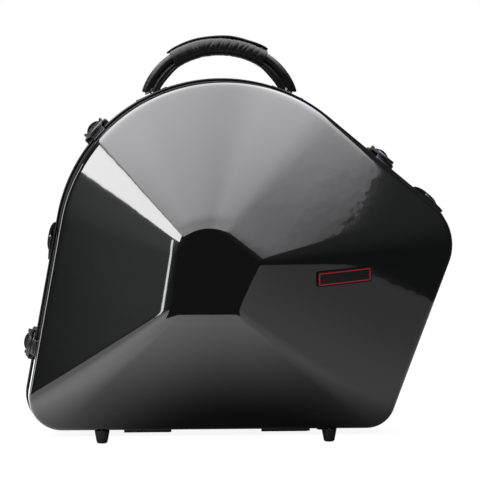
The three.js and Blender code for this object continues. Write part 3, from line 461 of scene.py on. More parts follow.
# Powder-coated steel: black, satin, with the fine orange peel that baked powder leaves.
PEEL = 1.4 * MM
black_steel, tree, shader, where = start_material("powder_coated_steel", "#18191c", 0.34, ior=1.52)
peel = add_node(tree, "ShaderNodeTexNoise", {"Vector": where, "Scale": 1 / PEEL, "Detail": 1.0})
add_node(tree, "ShaderNodeBump", {
    "Height": peel.outputs[0], "Distance": 0.06 * MM, "Strength": 0.7}, shader.inputs["Normal"])

for hand in ("left", "right"):
    for half in ("front", "back"):
        leaf = moulded(f"{hand}_hinge_{half}_leaf", f"{hand}_{half}_stamped_leaf", rounding=0.35)
        dress(black_steel, "black_steel", leaf)
    pin = moulded(f"{hand}_hinge_pin", f"{hand}_hinge_plain_pin", rounding=0.3)
    dress(bright_steel, "bright_steel", pin)

# Latches
# Draw latches, moulded in glass-filled nylon and riveted to the back half's rim. A lever with a
# domed grip lifts, and its steel hook lets go of a folded keeper on the front half.

# Glass-filled nylon, moulded in a polished tool: black with a soft shine and a faint fibre mottle.
MOTTLE = 1.6 * MM
nylon, tree, shader, where = start_material("glass_filled_nylon", "#17171a", 0.3, ior=1.53)
fibres = add_node(tree, "ShaderNodeTexNoise", {"Vector": where, "Scale": 1 / MOTTLE, "Detail": 3.0})
add_node(tree, "ShaderNodeMapRange", {
    "Value": fibres.outputs[0], "To Min": 0.22, "To Max": 0.4}, shader.inputs["Roughness"])
add_node(tree, "ShaderNodeBump", {
    "Height": fibres.outputs[0], "Distance": 0.04 * MM, "Strength": 0.5}, shader.inputs["Normal"])

# Black nickel plate over pressed steel: a dark grey metal, satin, with a fine mottle.
NICKEL_MOTTLE = 0.8 * MM
black_nickel, tree, shader, where = start_material(
    "black_nickel_plate", "#525156", 0.26, metallic=1.0)
speck = add_node(tree, "ShaderNodeTexNoise", {
    "Vector": where, "Scale": 1 / NICKEL_MOTTLE, "Detail": 2.0})
add_node(tree, "ShaderNodeMapRange", {
    "Value": speck.outputs[0], "To Min": 0.24, "To Max": 0.4}, shader.inputs["Roughness"])

# In mm from the lever's axis: the lever's grip outwards and to the back, the claw to the front.
GRIP_FLOOR = 4.6
GRIP_FRONT = 18
GRIP_FLATTER = 0.78
GRIP_FACE_ABOVE = 4.9
FACES_FRONT = -0.9
RIDGE_STEP = 0.9
RIDGE_FLANK = 0.15
RIDGE_DEPTH = 0.7
CLAW_START = -6
CLAW_FULL = -9
CLAW_NOSE = -39
CLAW_HALF = 7.5
CLAW_WIDER = 1.75
CLAW_BOW = 2.4
CLAW_SHARES = (-0.85, -0.6, -0.3, 0, 0.3, 0.6, 0.85)
CUT_ROOM = 0.1


def face_of(piece, wanted):
    """Selects one face in edit mode, the largest that a test by middle and normal lets through."""
    bpy.ops.mesh.select_all(action="DESELECT")
    shape = bmesh.from_edit_mesh(piece.data)
    found = [face for face in shape.faces if wanted(face.calc_center_median(), face.normal)]
    max(found, key=lambda face: face.calc_area()).select_set(True)
    bmesh.update_edit_mesh(piece.data)


turning = {joint["child"]: joint for joint in frame["joints"]}
for name in ("crown", "upper_right", "left"):
    hinge = turning[f"{name}_lever"]
    along = Vector(hinge["axis"]).normalized()
    outward = along.cross(Vector((0, 1, 0)))
    pivot = Vector(hinge["pos_m"])
    base = moulded(f"{name}_latch_base", f"{name}_latch_housing", rounding=0.5)
    lever = moulded(f"{name}_latch_lever", f"{name}_latch_grip_lever", rounding=0)
    # The grip is flatter than its solid, and ridges run round its front face.
    for vertex in lever.data.vertices:
        above = (vertex.co - pivot).dot(outward) - GRIP_FLOOR * MM
        if above > 0 and vertex.co.y - pivot.y > GRIP_FRONT * MM:
            vertex.co -= outward * above * (1 - GRIP_FLATTER)
    select_only(lever)
    bpy.ops.object.mode_set(mode="EDIT")
    face_of(lever, lambda point, normal: normal.y < FACES_FRONT
            and (point - pivot).y > GRIP_FRONT * MM
            and (point - pivot).dot(outward) > GRIP_FACE_ABOVE * MM)
    for depth in (0, -RIDGE_DEPTH, 0, RIDGE_DEPTH, 0, -RIDGE_DEPTH):
        width = RIDGE_FLANK if depth else RIDGE_STEP
        bpy.ops.mesh.inset(thickness=width * MM, depth=depth * MM)
    bpy.ops.object.mode_set(mode="OBJECT")
    round_edges(lever, 0.3, segments=2)
    smooth(lever, MOULDED_SMOOTH)
    dress(nylon, "black_nylon", base, lever)
    # The hook widens past the lever into a claw with a bowed nose.
    hook = moulded(f"{name}_latch_hook", f"{name}_latch_pressed_hook", rounding=0)
    select_only(hook)
    bpy.ops.object.mode_set(mode="EDIT")
    for depth in (CLAW_START, CLAW_FULL):
        bpy.ops.mesh.select_all(action="SELECT")
        bpy.ops.mesh.bisect(plane_co=pivot + Vector((0, depth * MM, 0)), plane_no=(0, 1, 0))
    for share in CLAW_SHARES:
        bpy.ops.mesh.select_all(action="SELECT")
        bpy.ops.mesh.bisect(plane_co=pivot + along * share * CLAW_HALF * MM, plane_no=along)
    bpy.ops.object.mode_set(mode="OBJECT")
    for vertex in hook.data.vertices:
        if vertex.co.y - pivot.y < (CLAW_FULL + CUT_ROOM) * MM:
            aside = (vertex.co - pivot).dot(along)
            vertex.co += along * aside * (CLAW_WIDER - 1)
            if vertex.co.y - pivot.y < CLAW_NOSE * MM:
                vertex.co.y += CLAW_BOW * MM * (aside / (CLAW_HALF * MM)) ** 2
    round_edges(hook, 0.7)
    smooth(hook, MOULDED_SMOOTH)
    keeper = moulded(f"{name}_latch_keeper", f"{name}_latch_folded_keeper", rounding=0.4)
    dress(black_nickel, "black_steel", hook, keeper)
    lever_pin = moulded(f"{name}_lever_pin", f"{name}_lever_plain_pin", rounding=0.3)
    hook_pin = moulded(f"{name}_hook_pin", f"{name}_hook_plain_pin", rounding=0.3)
    dress(black_steel, "bright_steel", lever_pin, hook_pin)

# Strap lugs
# An arched nylon lug is riveted to the back rim on each side, and a welded steel ring hangs in it
# for the shoulder strap.

LUG_ANGLES = {"left": SEAM_SHAPE["left"], "right": SEAM_SHAPE["upper_right"]}
LUG_HALF = 21
LUG_FOOT = -3.4
LUG_TOP = 3.4
LUG_BORE = 3.0
LUG_SHOULDER = 2.8
LUG_FALL = 0.7
RIVET_RADIUS = 1.7
RIVET_FLATTER = 0.5
RING_REST_TURN = 6
ROUND_SMOOTH = 60

for hand, sign in (("left", -1), ("right", 1)):
    hinge = turning[f"{hand}_ring"]
    pivot = Vector(hinge["pos_m"])
    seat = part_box(f"{hand}_strap_lug")
    lug = moulded(f"{hand}_strap_lug", f"{hand}_arched_strap_lug", rounding=0)
    angle = math.radians(LUG_ANGLES[hand])
    along = Vector((math.sin(angle), 0, -math.cos(angle)))
    outward = along.cross(Vector((0, 1, 0)))
    for vertex in lug.data.vertices:
        u = (vertex.co - pivot).dot(along) / MM
        w = (vertex.co - pivot).dot(outward) / MM
        if math.hypot(u, w) > LUG_BORE and w > LUG_FOOT:
            arch = (1 - min(abs(u) / LUG_HALF, 1) ** LUG_SHOULDER) ** LUG_FALL
            full = LUG_FOOT + (LUG_TOP - LUG_FOOT) * arch
            vertex.co += outward * max(full - w, 0) * MM
    round_edges(lug, 0.8)
    smooth(lug, MOULDED_SMOOTH)
    bpy.ops.mesh.primitive_uv_sphere_add(
        segments=24, ring_count=12, radius=RIVET_RADIUS * MM,
        location=(pivot.x, seat[0].y, pivot.z))
    rivet = bpy.context.object
    rivet.name = f"{hand}_lug_rivet"
    rivet.scale.y = RIVET_FLATTER
    bpy.ops.object.transform_apply(location=True, rotation=True, scale=True)
    smooth(rivet, ROUND_SMOOTH)
    dress(nylon, "black_nylon", lug)
    dress(bright_steel, "bright_steel", rivet)
    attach(rivet, "back_half")
    ring = moulded(f"{hand}_strap_ring", f"{hand}_welded_strap_ring", rounding=0)
    turn = Matrix.Rotation(math.radians(RING_REST_TURN * sign), 4, "Y")
    for vertex in ring.data.vertices:
        vertex.co = pivot + turn @ (vertex.co - pivot)
    select_only(ring)
    finish(ring, "SUBSURF", levels=1, render_levels=1)
    smooth(ring, ROUND_SMOOTH)
    dress(black_steel, "bright_steel", ring)

# Handle
# A padded arch: leather-grained vinyl folded over a foam core, with a flat sewn welt along its
# inner side. A wrapped grip closes on top of it with a flap, and its ends are folded over steel
# rings. Sizes are in mm, and places along the arch are in degrees from its top.

HANDLE_X = CROWN_X - 1.8 * MM
HANDLE_Y = 23
HANDLE_BASE = 188
HALF_SPAN = 97
RISE = 78
GRIP_LEFT = 40
GRIP_RIGHT = 38.5
ARM_START = 36
ARM_END = 73.6
ARM_TIP = 2.8
ARM_THIN_FROM = 60
ARM_THIN = 0.68
ARM_MIDDLE = -1.8
OUTER_FLARE = 0.12
END_SLANT_OUT = 0.45
END_SLANT_IN = 0.8
WELT_ROOT = -4.5
WELT_FLARE = 0.32
EYE_ROOM = Vector((7.5, 9.4, 12))
ARM_STEPS = 40
ARM_MOUTH = 0.9
MOUTH_RIM = 1
TIP_STEPS = 6
TIP_CORE = 0.55
TIP_ROUND = 0.45
PADDED_SMOOTH = 50


def arch_point(degrees, outward, depth):
    """A point of the handle's arch, by its place in degrees, its way outward and its depth."""
    angle = math.radians(degrees)
    slope = Vector((RISE * math.sin(angle), 0, HALF_SPAN * math.cos(angle))).normalized()
    point = Vector((HALF_SPAN * math.sin(angle), HANDLE_Y, HANDLE_BASE + RISE * math.cos(angle)))
    point += slope * outward + Vector((0, depth, 0))
    return Vector((HANDLE_X + point.x * MM, point.y * MM, CROWN_Z + point.z * MM))


# From the outer edge to the inner one: way outward from the middle line, and half thickness.
ARM_SECTION = [
    (7.8, 0.0), (7.6, 2.2), (7.0, 4.4), (6.0, 6.4), (4.4, 7.9), (2.3, 8.6), (0.1, 8.3), (-1.8, 7.2),
    (-3.2, 5.6), (-4.0, 4.3), (-4.5, 3.9), (-5.0, 4.3), (-5.8, 5.2), (-6.9, 5.6), (-8.0, 5.2),
    (-8.7, 4.4), (-9.2, 4.1), (-9.7, 4.4), (-10.6, 4.6), (-11.6, 4.1), (-12.2, 2.4), (-12.4, 0.0),
]


def arm_point(degrees, outward, depth):
    """A point of an arm. Its welt flares inward at half its length, and its end thins and follows
    the rim."""
    along = min((abs(degrees) - ARM_START) / (ARM_END - ARM_START), 1)
    end = min(max(abs(degrees) - ARM_THIN_FROM, 0) / (ARM_END - ARM_THIN_FROM), 1)
    slant = END_SLANT_OUT if outward > ARM_MIDDLE else END_SLANT_IN
    lean = slant * (outward - ARM_MIDDLE) * along ** 3
    if outward < WELT_ROOT:
        outward = WELT_ROOT + (outward - WELT_ROOT) * (1 + WELT_FLARE * math.sin(math.pi * along))
    elif outward > 0:
        outward *= 1 + OUTER_FLARE * end
    turned = degrees + math.copysign(lean, degrees)
    return arch_point(turned, outward, depth * (1 - (1 - ARM_THIN) * end))


def arm_ring(degrees, scale):
    """The arm's section round its tube, drawn towards its middle by a scale."""
    half = [(ARM_MIDDLE + (w - ARM_MIDDLE) * scale, y * scale) for w, y in ARM_SECTION]
    back = [(w, -y) for w, y in reversed(half[1:-1])]
    return [arm_point(degrees, w, y) for w, y in half + back]


def arm(name, side):
    """One arm, from its mouth under the grip to its blunt tip at the rim."""
    rings = [[arm_point(side * ARM_START, ARM_MIDDLE, 0)], arm_ring(side * ARM_START, ARM_MOUTH)]
    for step in range(ARM_STEPS + 1):
        degrees = ARM_START + MOUTH_RIM + (ARM_END - ARM_START - MOUTH_RIM) * step / ARM_STEPS
        rings.append(arm_ring(side * degrees, 1.0))
    for step in range(1, TIP_STEPS):
        turn = math.radians(90 * step / TIP_STEPS)
        rings.append(arm_ring(side * (ARM_END + ARM_TIP * math.sin(turn)),
                              TIP_CORE + TIP_ROUND * math.cos(turn)))
    rings.append([arm_point(side * (ARM_END + ARM_TIP), ARM_MIDDLE, 0)])
    piece = skin(name, rings)
    smooth(piece, ROUND_SMOOTH)
    return piece


def joined(name, pieces):
    select_only(*pieces)
    bpy.ops.object.join()
    pieces[0].name = name
    return pieces[0]


# The folded vinyl leaves a slot at each end, where the ring hangs on the bracket's eye.
SWING = next(joint for joint in frame["joints"] if joint["name"] == "handle_hinge")
SWING_HEIGHT = SWING["pos_m"][2]
arms = []
for hand, side in (("left", -1), ("right", 1)):
    padded_arm = arm(f"{hand}_arm", side)
    low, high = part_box(f"handle_{hand}_ring")
    bpy.ops.mesh.primitive_cube_add(
        size=1, location=((low.x + high.x) / 2, HANDLE_Y * MM, SWING_HEIGHT))
    slot_block = bpy.context.object
    slot_block.scale = EYE_ROOM * MM
    bpy.ops.object.transform_apply(location=True, rotation=True, scale=True)
    select_only(padded_arm)
    finish(padded_arm, "BOOLEAN", operation="DIFFERENCE", object=slot_block)
    bpy.data.objects.remove(slot_block)
    arms.append(padded_arm)
handle_arms = joined("handle_arms", arms)
smooth(handle_arms, PADDED_SMOOTH)

# Black thread runs in the groove beside the padding, front and back.
STITCHES = 13
STITCH_FIRST = 42
STITCH_LAST = 70
STITCH_DEPTH = 4.1
STITCH_LENGTH = 2.7
THREAD = 0.55
THREAD_SMOOTH = 80
stitches = []
for side in (-1, 1):
    for face in (-1, 1):
        for number in range(STITCHES):
            share = number / (STITCHES - 1)
            degrees = side * (STITCH_FIRST + (STITCH_LAST - STITCH_FIRST) * share)
            middle_point = arm_point(degrees, WELT_ROOT, face * STITCH_DEPTH)
            heading = arm_point(degrees + side, WELT_ROOT, face * STITCH_DEPTH) - middle_point
            bpy.ops.mesh.primitive_uv_sphere_add(segments=8, ring_count=6, radius=THREAD * MM)
            stitch = bpy.context.object
            stitch.scale.x = STITCH_LENGTH / 2 / THREAD
            stitch.rotation_euler = heading.to_track_quat("X", "Z").to_euler()
            stitch.location = middle_point
            bpy.ops.object.transform_apply(location=True, rotation=True, scale=True)
            stitches.append(stitch)
handle_stitching = joined("handle_stitching", stitches)
smooth(handle_stitching, THREAD_SMOOTH)

# The grip's vinyl is gathered under the flap and creases where the hand closes on it: angle, width
# and slant in degrees, and depth in mm.
CREASES = [
    (-30, 1.8, 1.5, 0.4), (-19.5, 1.1, -3.4, 1.1), (-16.6, 0.9, -2.6, 0.8), (-11.5, 1.0, 2.2, 0.5),
    (-7.0, 1.1, 4.2, 0.9), (-3.4, 0.8, 2.6, 0.6), (0.4, 1.0, 2.8, 0.9), (3.6, 0.8, 3.4, 0.6),
    (7.4, 0.9, 3.6, 1.1), (10.6, 0.8, 2.2, 0.7), (14.2, 1.0, 4.0, 1.0), (18.6, 1.0, 3.4, 0.8),
    (22.5, 1.1, 4.2, 0.8), (27.0, 1.2, 4.6, 0.6), (31.5, 1.4, 3.6, 0.5),
]
CREASE_PIVOT = 0.2
CREASE_WAVE, CREASE_WAVE_PACE = 0.5, 2.3
CREASE_TWIST = 0.6
GATHER_ROUND, GATHER_ABOVE = 0.25, 0.75
ABOVE_START, ABOVE_SLOPE = 0.3, 0.9
SLACK = 0.12
SLACK_ALONG, SLACK_UP = 0.9, 3
SLACK_ALONG_TOO, SLACK_ACROSS = 0.37, 2.2
GRIP_RADIUS = 11.9
GRIP_WIDER = 0.5
GRIP_SINK = -1.6
GRIP_ROUND = 72
GRIP_FLAT = 0.8


def grip_ring(degrees, swell, lean=0.0):
    """The wrap's section: flattened, slack all over, and drawn in along creases that wander."""
    ring = []
    for step in range(GRIP_ROUND):
        turn = 2 * math.pi * step / GRIP_ROUND
        up = math.copysign(abs(math.cos(turn)) ** GRIP_FLAT, math.cos(turn))
        across = math.copysign(abs(math.sin(turn)) ** GRIP_FLAT, math.sin(turn))
        above = max(ABOVE_START + ABOVE_SLOPE * up, 0)
        gathered = GATHER_ROUND + GATHER_ABOVE * above * across ** 2
        slack = 0
        for place, width, slant, depth in CREASES:
            line = (place + slant * (up - CREASE_PIVOT)
                    + CREASE_WAVE * math.sin(CREASE_WAVE_PACE * up + place) + CREASE_TWIST * across)
            slack += depth * math.exp(-((degrees - line) / width) ** 2) * gathered
        slack += (SLACK * math.sin(SLACK_ALONG * degrees + SLACK_UP * up)
                  * math.cos(SLACK_ALONG_TOO * degrees + SLACK_ACROSS * across))
        out = GRIP_RADIUS * swell - slack * swell
        ring.append(arch_point(
            degrees + lean * up, GRIP_SINK + up * out, across * (out + GRIP_WIDER * swell)))
    return ring


GRIP_STEPS = 230
GRIP_LEAN = 1.2
GRIP_TUCK = 3
GRIP_HEM = ((-3, 0.62), (-2, 0.84), (0.1, 0.885), (0.5, 0.93), (0.4, 0.975))
rings = [[arch_point(GRIP_TUCK - GRIP_LEFT, GRIP_SINK, 0)]]
for beyond, swell in GRIP_HEM:
    rings.append(grip_ring(-GRIP_LEFT - beyond, swell, GRIP_LEAN))
for step in range(GRIP_STEPS + 1):
    share = step / GRIP_STEPS
    degrees = -GRIP_LEFT + (GRIP_LEFT + GRIP_RIGHT) * share
    rings.append(grip_ring(degrees, 1.0, GRIP_LEAN * (1 - 2 * share)))
for beyond, swell in reversed(GRIP_HEM):
    rings.append(grip_ring(GRIP_RIGHT + beyond, swell, -GRIP_LEAN))
rings.append([arch_point(GRIP_RIGHT - GRIP_TUCK, GRIP_SINK, 0)])
grip = skin("handle_wrap", rings)
smooth(grip, PADDED_SMOOTH)

# The flap's strip stands up at its left end and leans to the front at its right end. Its root and
# its tip are each a way outward and a depth at the left end, with their change to the right end.
FLAP_THICKNESS = 1.9
FLAP_START = -41
FLAP_STOP = 36.9
FLAP_STEPS = 90
FLAP_ROOT = ((9.6, 1.5), (2.2, 1.4))
FLAP_TIP = ((13.1, -0.1), (0.9, -5.6))
FLAP_SWAY, FLAP_SWAY_PACE = 0.5, 0.23
FLAP_BOW, FLAP_BOW_PACE = 0.35, 0.31
FLAP_TAPER = 0.25
FLAP_TAPER_LATE = 8
EDGE_BACK = 0.5
EDGE_THIN = 0.6
rings = []
for step in range(FLAP_STEPS + 1):
    share = step / FLAP_STEPS
    degrees = FLAP_START + (FLAP_STOP - FLAP_START) * share
    turn = share * share * (3 - 2 * share)
    root = Vector([start + change * turn for start, change in FLAP_ROOT])
    tip = Vector([start + change * turn for start, change in FLAP_TIP])
    along = (tip - root).normalized()
    across = Vector((-along.y, along.x)) * FLAP_THICKNESS / 2
    bow = Vector((FLAP_SWAY * math.sin(FLAP_SWAY_PACE * degrees) * turn,
                  FLAP_BOW * math.sin(FLAP_BOW_PACE * degrees + 1)))
    narrow = 1 - FLAP_TAPER * (abs(share - 0.5) * 2) ** FLAP_TAPER_LATE
    section = [root - across, tip - across - along * EDGE_BACK, tip - across * EDGE_THIN,
               tip + across * EDGE_THIN, tip + across - along * EDGE_BACK, root + across]
    section = [root + (point - root) * narrow + bow * ((point - root).length / (tip - root).length)
               for point in section]
    rings.append([arch_point(degrees, point.x, point.y) for point in section])
rings.insert(0, middle(rings[0]))
rings.append(middle(rings[-1]))
flap = skin("handle_wrap_flap", rings)
smooth(flap, PADDED_SMOOTH)

# Vinyl with a pressed leather grain, about 1 mm from pebble to pebble.
GRAIN = 1.1 * MM
FOLD = 6 * MM
vinyl, tree, shader, where = start_material("grained_vinyl", "#0e0e10", 0.34, ior=1.42)
pebbles = add_node(tree, "ShaderNodeTexVoronoi", {"Vector": where, "Scale": 1 / GRAIN},
                   feature="SMOOTH_F1")
folds = add_node(tree, "ShaderNodeTexNoise", {"Vector": where, "Scale": 1 / FOLD, "Detail": 4.0})
fold_bump = add_node(tree, "ShaderNodeBump", {
    "Height": folds.outputs[0], "Distance": 0.35 * MM, "Strength": 0.45})
add_node(tree, "ShaderNodeBump", {
    "Height": pebbles.outputs[0], "Distance": 0.25 * MM, "Strength": 0.5,
    "Normal": fold_bump.outputs[0]}, shader.inputs["Normal"])
add_node(tree, "ShaderNodeMapRange", {
    "Value": folds.outputs[0], "To Min": 0.25, "To Max": 0.4}, shader.inputs["Roughness"])
dress(vinyl, "leatherette", handle_arms, grip, flap)

# Bonded polyester thread: dull black, twisted.
TWIST = 0.5 * MM
thread, tree, shader, where = start_material("bonded_polyester_thread", "#060607", 0.7)
twist = add_node(tree, "ShaderNodeTexNoise", {"Vector": where, "Scale": 1 / TWIST, "Detail": 1.0})
add_node(tree, "ShaderNodeBump", {
    "Height": twist.outputs[0], "Distance": 0.1 * MM, "Strength": 0.6}, shader.inputs["Normal"])
dress(thread, "leatherette", handle_stitching)
for piece in (handle_arms, grip, flap, handle_stitching):
    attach(piece, "handle")
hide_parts("handle_body")
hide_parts("handle_grip")

# Badge
# A thin printed plate is stuck on the front half's right slope. It is left blank, with a thin red
# border raised a little above it.

BADGE_MARGIN = 0.2
BADGE_LINE = 1.5
BADGE_LIFT = 0.25
LEANS_FRONT = -0.3
badge_plate = moulded("badge_plate", "badge_blank_plate", rounding=0, flat=4)

# Enamel-like lacquer over aluminium: smooth black with a soft gloss.
LACQUER_CLOUD = 5 * MM
lacquer, tree, shader, where = start_material("black_lacquer", "#0e0b0c", 0.22)
cloud = add_node(tree, "ShaderNodeTexNoise", {
    "Vector": where, "Scale": 1 / LACQUER_CLOUD, "Detail": 2.0})
add_node(tree, "ShaderNodeMapRange", {
    "Value": cloud.outputs[0], "To Min": 0.18, "To Max": 0.3}, shader.inputs["Roughness"])

# Screen-printed ink: a plain deep red, slightly thicker in places.
INK_CLOUD = 2 * MM
red_ink, tree, shader, where = start_material("printed_red_ink", "#ec2440", 0.4)
cloud = add_node(tree, "ShaderNodeTexNoise", {
    "Vector": where, "Scale": 1 / INK_CLOUD, "Detail": 2.0})
add_node(tree, "ShaderNodeBump", {
    "Height": cloud.outputs[0], "Distance": 0.05 * MM, "Strength": 0.4}, shader.inputs["Normal"])
dress(lacquer, "badge_black", badge_plate)
badge_plate.data.materials.append(red_ink)
select_only(badge_plate)
bpy.ops.object.mode_set(mode="EDIT")
face_of(badge_plate, lambda point, normal: normal.y < LEANS_FRONT)
bpy.ops.mesh.inset(thickness=BADGE_MARGIN * MM)
badge_plate.active_material_index = 1
bpy.ops.object.material_slot_assign()
bpy.ops.mesh.inset(thickness=BADGE_LINE * MM)
badge_plate.active_material_index = 0
bpy.ops.object.material_slot_assign()
bpy.ops.mesh.select_all(action="DESELECT")
badge_plate.active_material_index = 1
bpy.ops.object.material_slot_select()
bpy.ops.mesh.extrude_region_shrink_fatten(
    TRANSFORM_OT_shrink_fatten={"value": BADGE_LIFT * MM})
bpy.ops.object.mode_set(mode="OBJECT")
smooth(badge_plate, MOULDED_SMOOTH)

# Liners and cradles
# The liner of each half is cut foam with a grey plush glued over it. A plush-covered block with a
# curved bed stands in each half and holds the bell's flare.

PLUSH_SMOOTH = 80


def upholstered(node, name, cell, rounds):
    """A copy of a CAD foam block under plush: remeshed in cells of some mm, then smoothed."""
    piece = moulded(node, name, rounding=0)
    select_only(piece)
    finish(piece, "REMESH", mode="VOXEL", voxel_size=cell * MM)
    finish(piece, "SMOOTH", factor=0.5, iterations=rounds)
    smooth(piece, PLUSH_SMOOTH)
    return piece


# Knitted plush with a 1.5 mm pile: dark grey, soft, paler where the pile lies over.
PILE = 1.5 * MM
STROKE = 38 * MM
plush, tree, shader, where = start_material(
    "knitted_plush", "#3a3b42", 0.95, more={"Sheen Weight": 0.6, "Sheen Roughness": 0.5})
pile = add_node(tree, "ShaderNodeTexNoise", {
    "Vector": where, "Scale": 1 / PILE, "Detail": 4.0, "Roughness": 0.7})
strokes = add_node(tree, "ShaderNodeTexNoise", {
    "Vector": where, "Scale": 1 / STROKE, "Detail": 2.0})
shades = add_node(tree, "ShaderNodeMix", {
    "Factor": strokes.outputs[0], "A": linear("#2c2d33"), "B": linear("#4c4d55")}, data_type="RGBA")
tree.links.new(shades.outputs["Result"], shader.inputs["Base Color"])
add_node(tree, "ShaderNodeBump", {
    "Height": pile.outputs[0], "Distance": 0.9 * MM, "Strength": 0.8}, shader.inputs["Normal"])

for half in ("front", "back"):
    liner = upholstered(f"{half}_foam_liner", f"{half}_plush_liner", cell=4.0, rounds=4)
    cradle = upholstered(f"{half}_bell_cradle", f"{half}_plush_cradle", cell=3.5, rounds=6)
    dress(plush, "plush_foam", liner, cradle)

# Tray and mouthpiece holder
# An open tray for oil and cloths is glued in the back half's left corner, of board with plush over
# it. A rubber block with two bores holds the mouthpieces.

tray = moulded("accessory_tray", "plush_accessory_tray", rounding=1.4)
dress(plush, "plush_foam", tray)
holder = moulded("mouthpiece_holder", "moulded_mouthpiece_holder", rounding=1.0)
dress(rubber, "black_rubber", holder)

# Handle rings and brackets
# A stamped steel trapezoid is sewn into each end of the handle and swings on the eye of a nylon
# bracket, which two rivets hold on the back rim.

# Each corner: way outwards from the middle of the eye, and way up from the swing axis.
RING_CORNERS = {
    (-1, -1): (-4.2, -0.6), (1, -1): (6.0, -5.3), (-1, 1): (-6.2, 8.6), (1, 1): (8.0, 7.0),
}
RING_BAR = 4.6
RING_TILT = 9
RING_PLATE = 2.2
for hand, sign in (("left", -1), ("right", 1)):
    low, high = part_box(f"handle_{hand}_ring")
    centre = (low.x + high.x) / 2
    bpy.ops.mesh.primitive_plane_add(size=2, location=(0, 0, 0))
    plate = bpy.context.object
    plate.name = f"handle_{hand}_trapezoid_ring"
    for vertex in plate.data.vertices:
        out, up = RING_CORNERS[(round(vertex.co.x * sign), round(vertex.co.y))]
        back = up * math.tan(math.radians(RING_TILT))
        vertex.co = Vector((
            centre + sign * out * MM, (HANDLE_Y + back) * MM, SWING_HEIGHT + up * MM))
    bpy.ops.object.mode_set(mode="EDIT")
    bpy.ops.mesh.select_all(action="SELECT")
    bpy.ops.mesh.inset(thickness=RING_BAR * MM)
    bpy.ops.mesh.delete(type="FACE")
    bpy.ops.object.mode_set(mode="OBJECT")
    finish(plate, "SOLIDIFY", thickness=RING_PLATE * MM, offset=0)
    round_edges(plate, 0.5)
    smooth(plate, MOULDED_SMOOTH)
    dress(bright_steel, "bright_steel", plate)
    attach(plate, "handle")
    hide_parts(f"handle_{hand}_ring")
    bracket = moulded(f"handle_{hand}_bracket", f"handle_{hand}_riveted_bracket", rounding=0.4)
    dress(nylon, "black_nylon", bracket)

# Studio
# A pale table carries the back half. It ends at the seam, so that the front half can swing down
# past it. A long soft box hangs over it, a brighter one stands at its left, and dark drapes hang
# round it all. Sizes are in metres.

TABLE_LEFT, TABLE_RIGHT, TABLE_FRONT, TABLE_BACK = -1.7, 0.69, -1.15, 1.6
TABLE_EDGE = 0.008
TABLE_GLOW = 0.9
bpy.ops.mesh.primitive_plane_add(size=1.0, location=(0, 0, 0))
table = bpy.context.object
table.name = "table"
for vertex in table.data.vertices:
    vertex.co.x = TABLE_RIGHT if vertex.co.x > 0 else TABLE_LEFT
    vertex.co.y = TABLE_BACK if vertex.co.y > 0 else TABLE_EDGE
pale, tree, shader, where = start_material("pale_table_top", "#b6b6b6", 0.9, more={
    "Specular IOR Level": 0.0, "Emission Color": linear("#ffffff")})
# The camera sees the table glow nearly white, with the case's shadow on it. What the case mirrors
# of it is a panel of its own with painted light and a painted shadow, further down.
rays = add_node(tree, "ShaderNodeLightPath")
add_node(tree, "ShaderNodeMath", {
    0: rays.outputs["Is Camera Ray"], 1: TABLE_GLOW}, shader.inputs["Emission Strength"],
    operation="MULTIPLY")
dress(pale, None, table)
table.visible_glossy = False

DRAPE_DISTANCE = 6.0
bpy.ops.mesh.primitive_uv_sphere_add(
    segments=48, ring_count=24, radius=DRAPE_DISTANCE, location=(0, 0, 0))
drapes = bpy.context.object
drapes.name = "drapes"
black, tree, shader, where = start_material("black_drapes", "#080808", 1.0, more={
    "Specular IOR Level": 0.0, "Emission Color": linear("#eef6f3")})
toward = add_node(tree, "ShaderNodeVectorMath", {0: where}, operation="NORMALIZE")


def lit_patch(azimuth, height_angle, spread, strength):
    """Light that spills on the drapes round a direction, fading out over a spread in degrees."""
    near = add_node(tree, "ShaderNodeVectorMath", {
        0: toward.outputs[0], 1: direction(azimuth, height_angle)}, operation="DOT_PRODUCT")
    return add_node(tree, "ShaderNodeMapRange", {
        "Value": near.outputs["Value"], "From Min": math.cos(math.radians(spread)),
        "From Max": 1.0, "To Min": 0.0, "To Max": strength}, interpolation_type="SMOOTHSTEP")


DRAPE_GLOW = 0.05
spill = DRAPE_GLOW
for patch in (
        lit_patch(azimuth=-54, height_angle=20, spread=24, strength=0.35),
        lit_patch(azimuth=-58, height_angle=8, spread=50, strength=0.055),
        lit_patch(azimuth=50, height_angle=40, spread=44, strength=0.09)):
    spill = add_node(tree, "ShaderNodeMath", {
        0: patch.outputs[0], 1: spill}, operation="ADD").outputs[0]
tree.links.new(spill, shader.inputs["Emission Strength"])
dress(black, None, drapes)


def only_in_reflections(piece):
    for ray in ("camera", "diffuse", "transmission", "volume_scatter", "shadow"):
        setattr(piece, f"visible_{ray}", False)


only_in_reflections(drapes)


def lit_panel(name, corners, strength=1.0):
    """A lit panel, by its four corners, that is seen in reflections only."""
    mesh = bpy.data.meshes.new(name)
    mesh.from_pydata(corners, [], [(0, 1, 2, 3)])
    panel = bpy.data.objects.new(name, mesh)
    bpy.context.scene.collection.objects.link(panel)
    lit = bpy.data.materials.new(name + "_cloth")
    lit.use_nodes = True
    tree = lit.node_tree
    tree.nodes.clear()
    glow = add_node(tree, "ShaderNodeEmission", {"Strength": strength})
    add_node(tree, "ShaderNodeOutputMaterial", {"Surface": glow.outputs[0]})
    panel.data.materials.append(lit)
    only_in_reflections(panel)
    return tree, glow


def standing(start, end, low, high):
    """The corners of an upright panel between two (x, y) places."""
    return [(*start, low), (*end, low), (*end, high), (*start, high)]


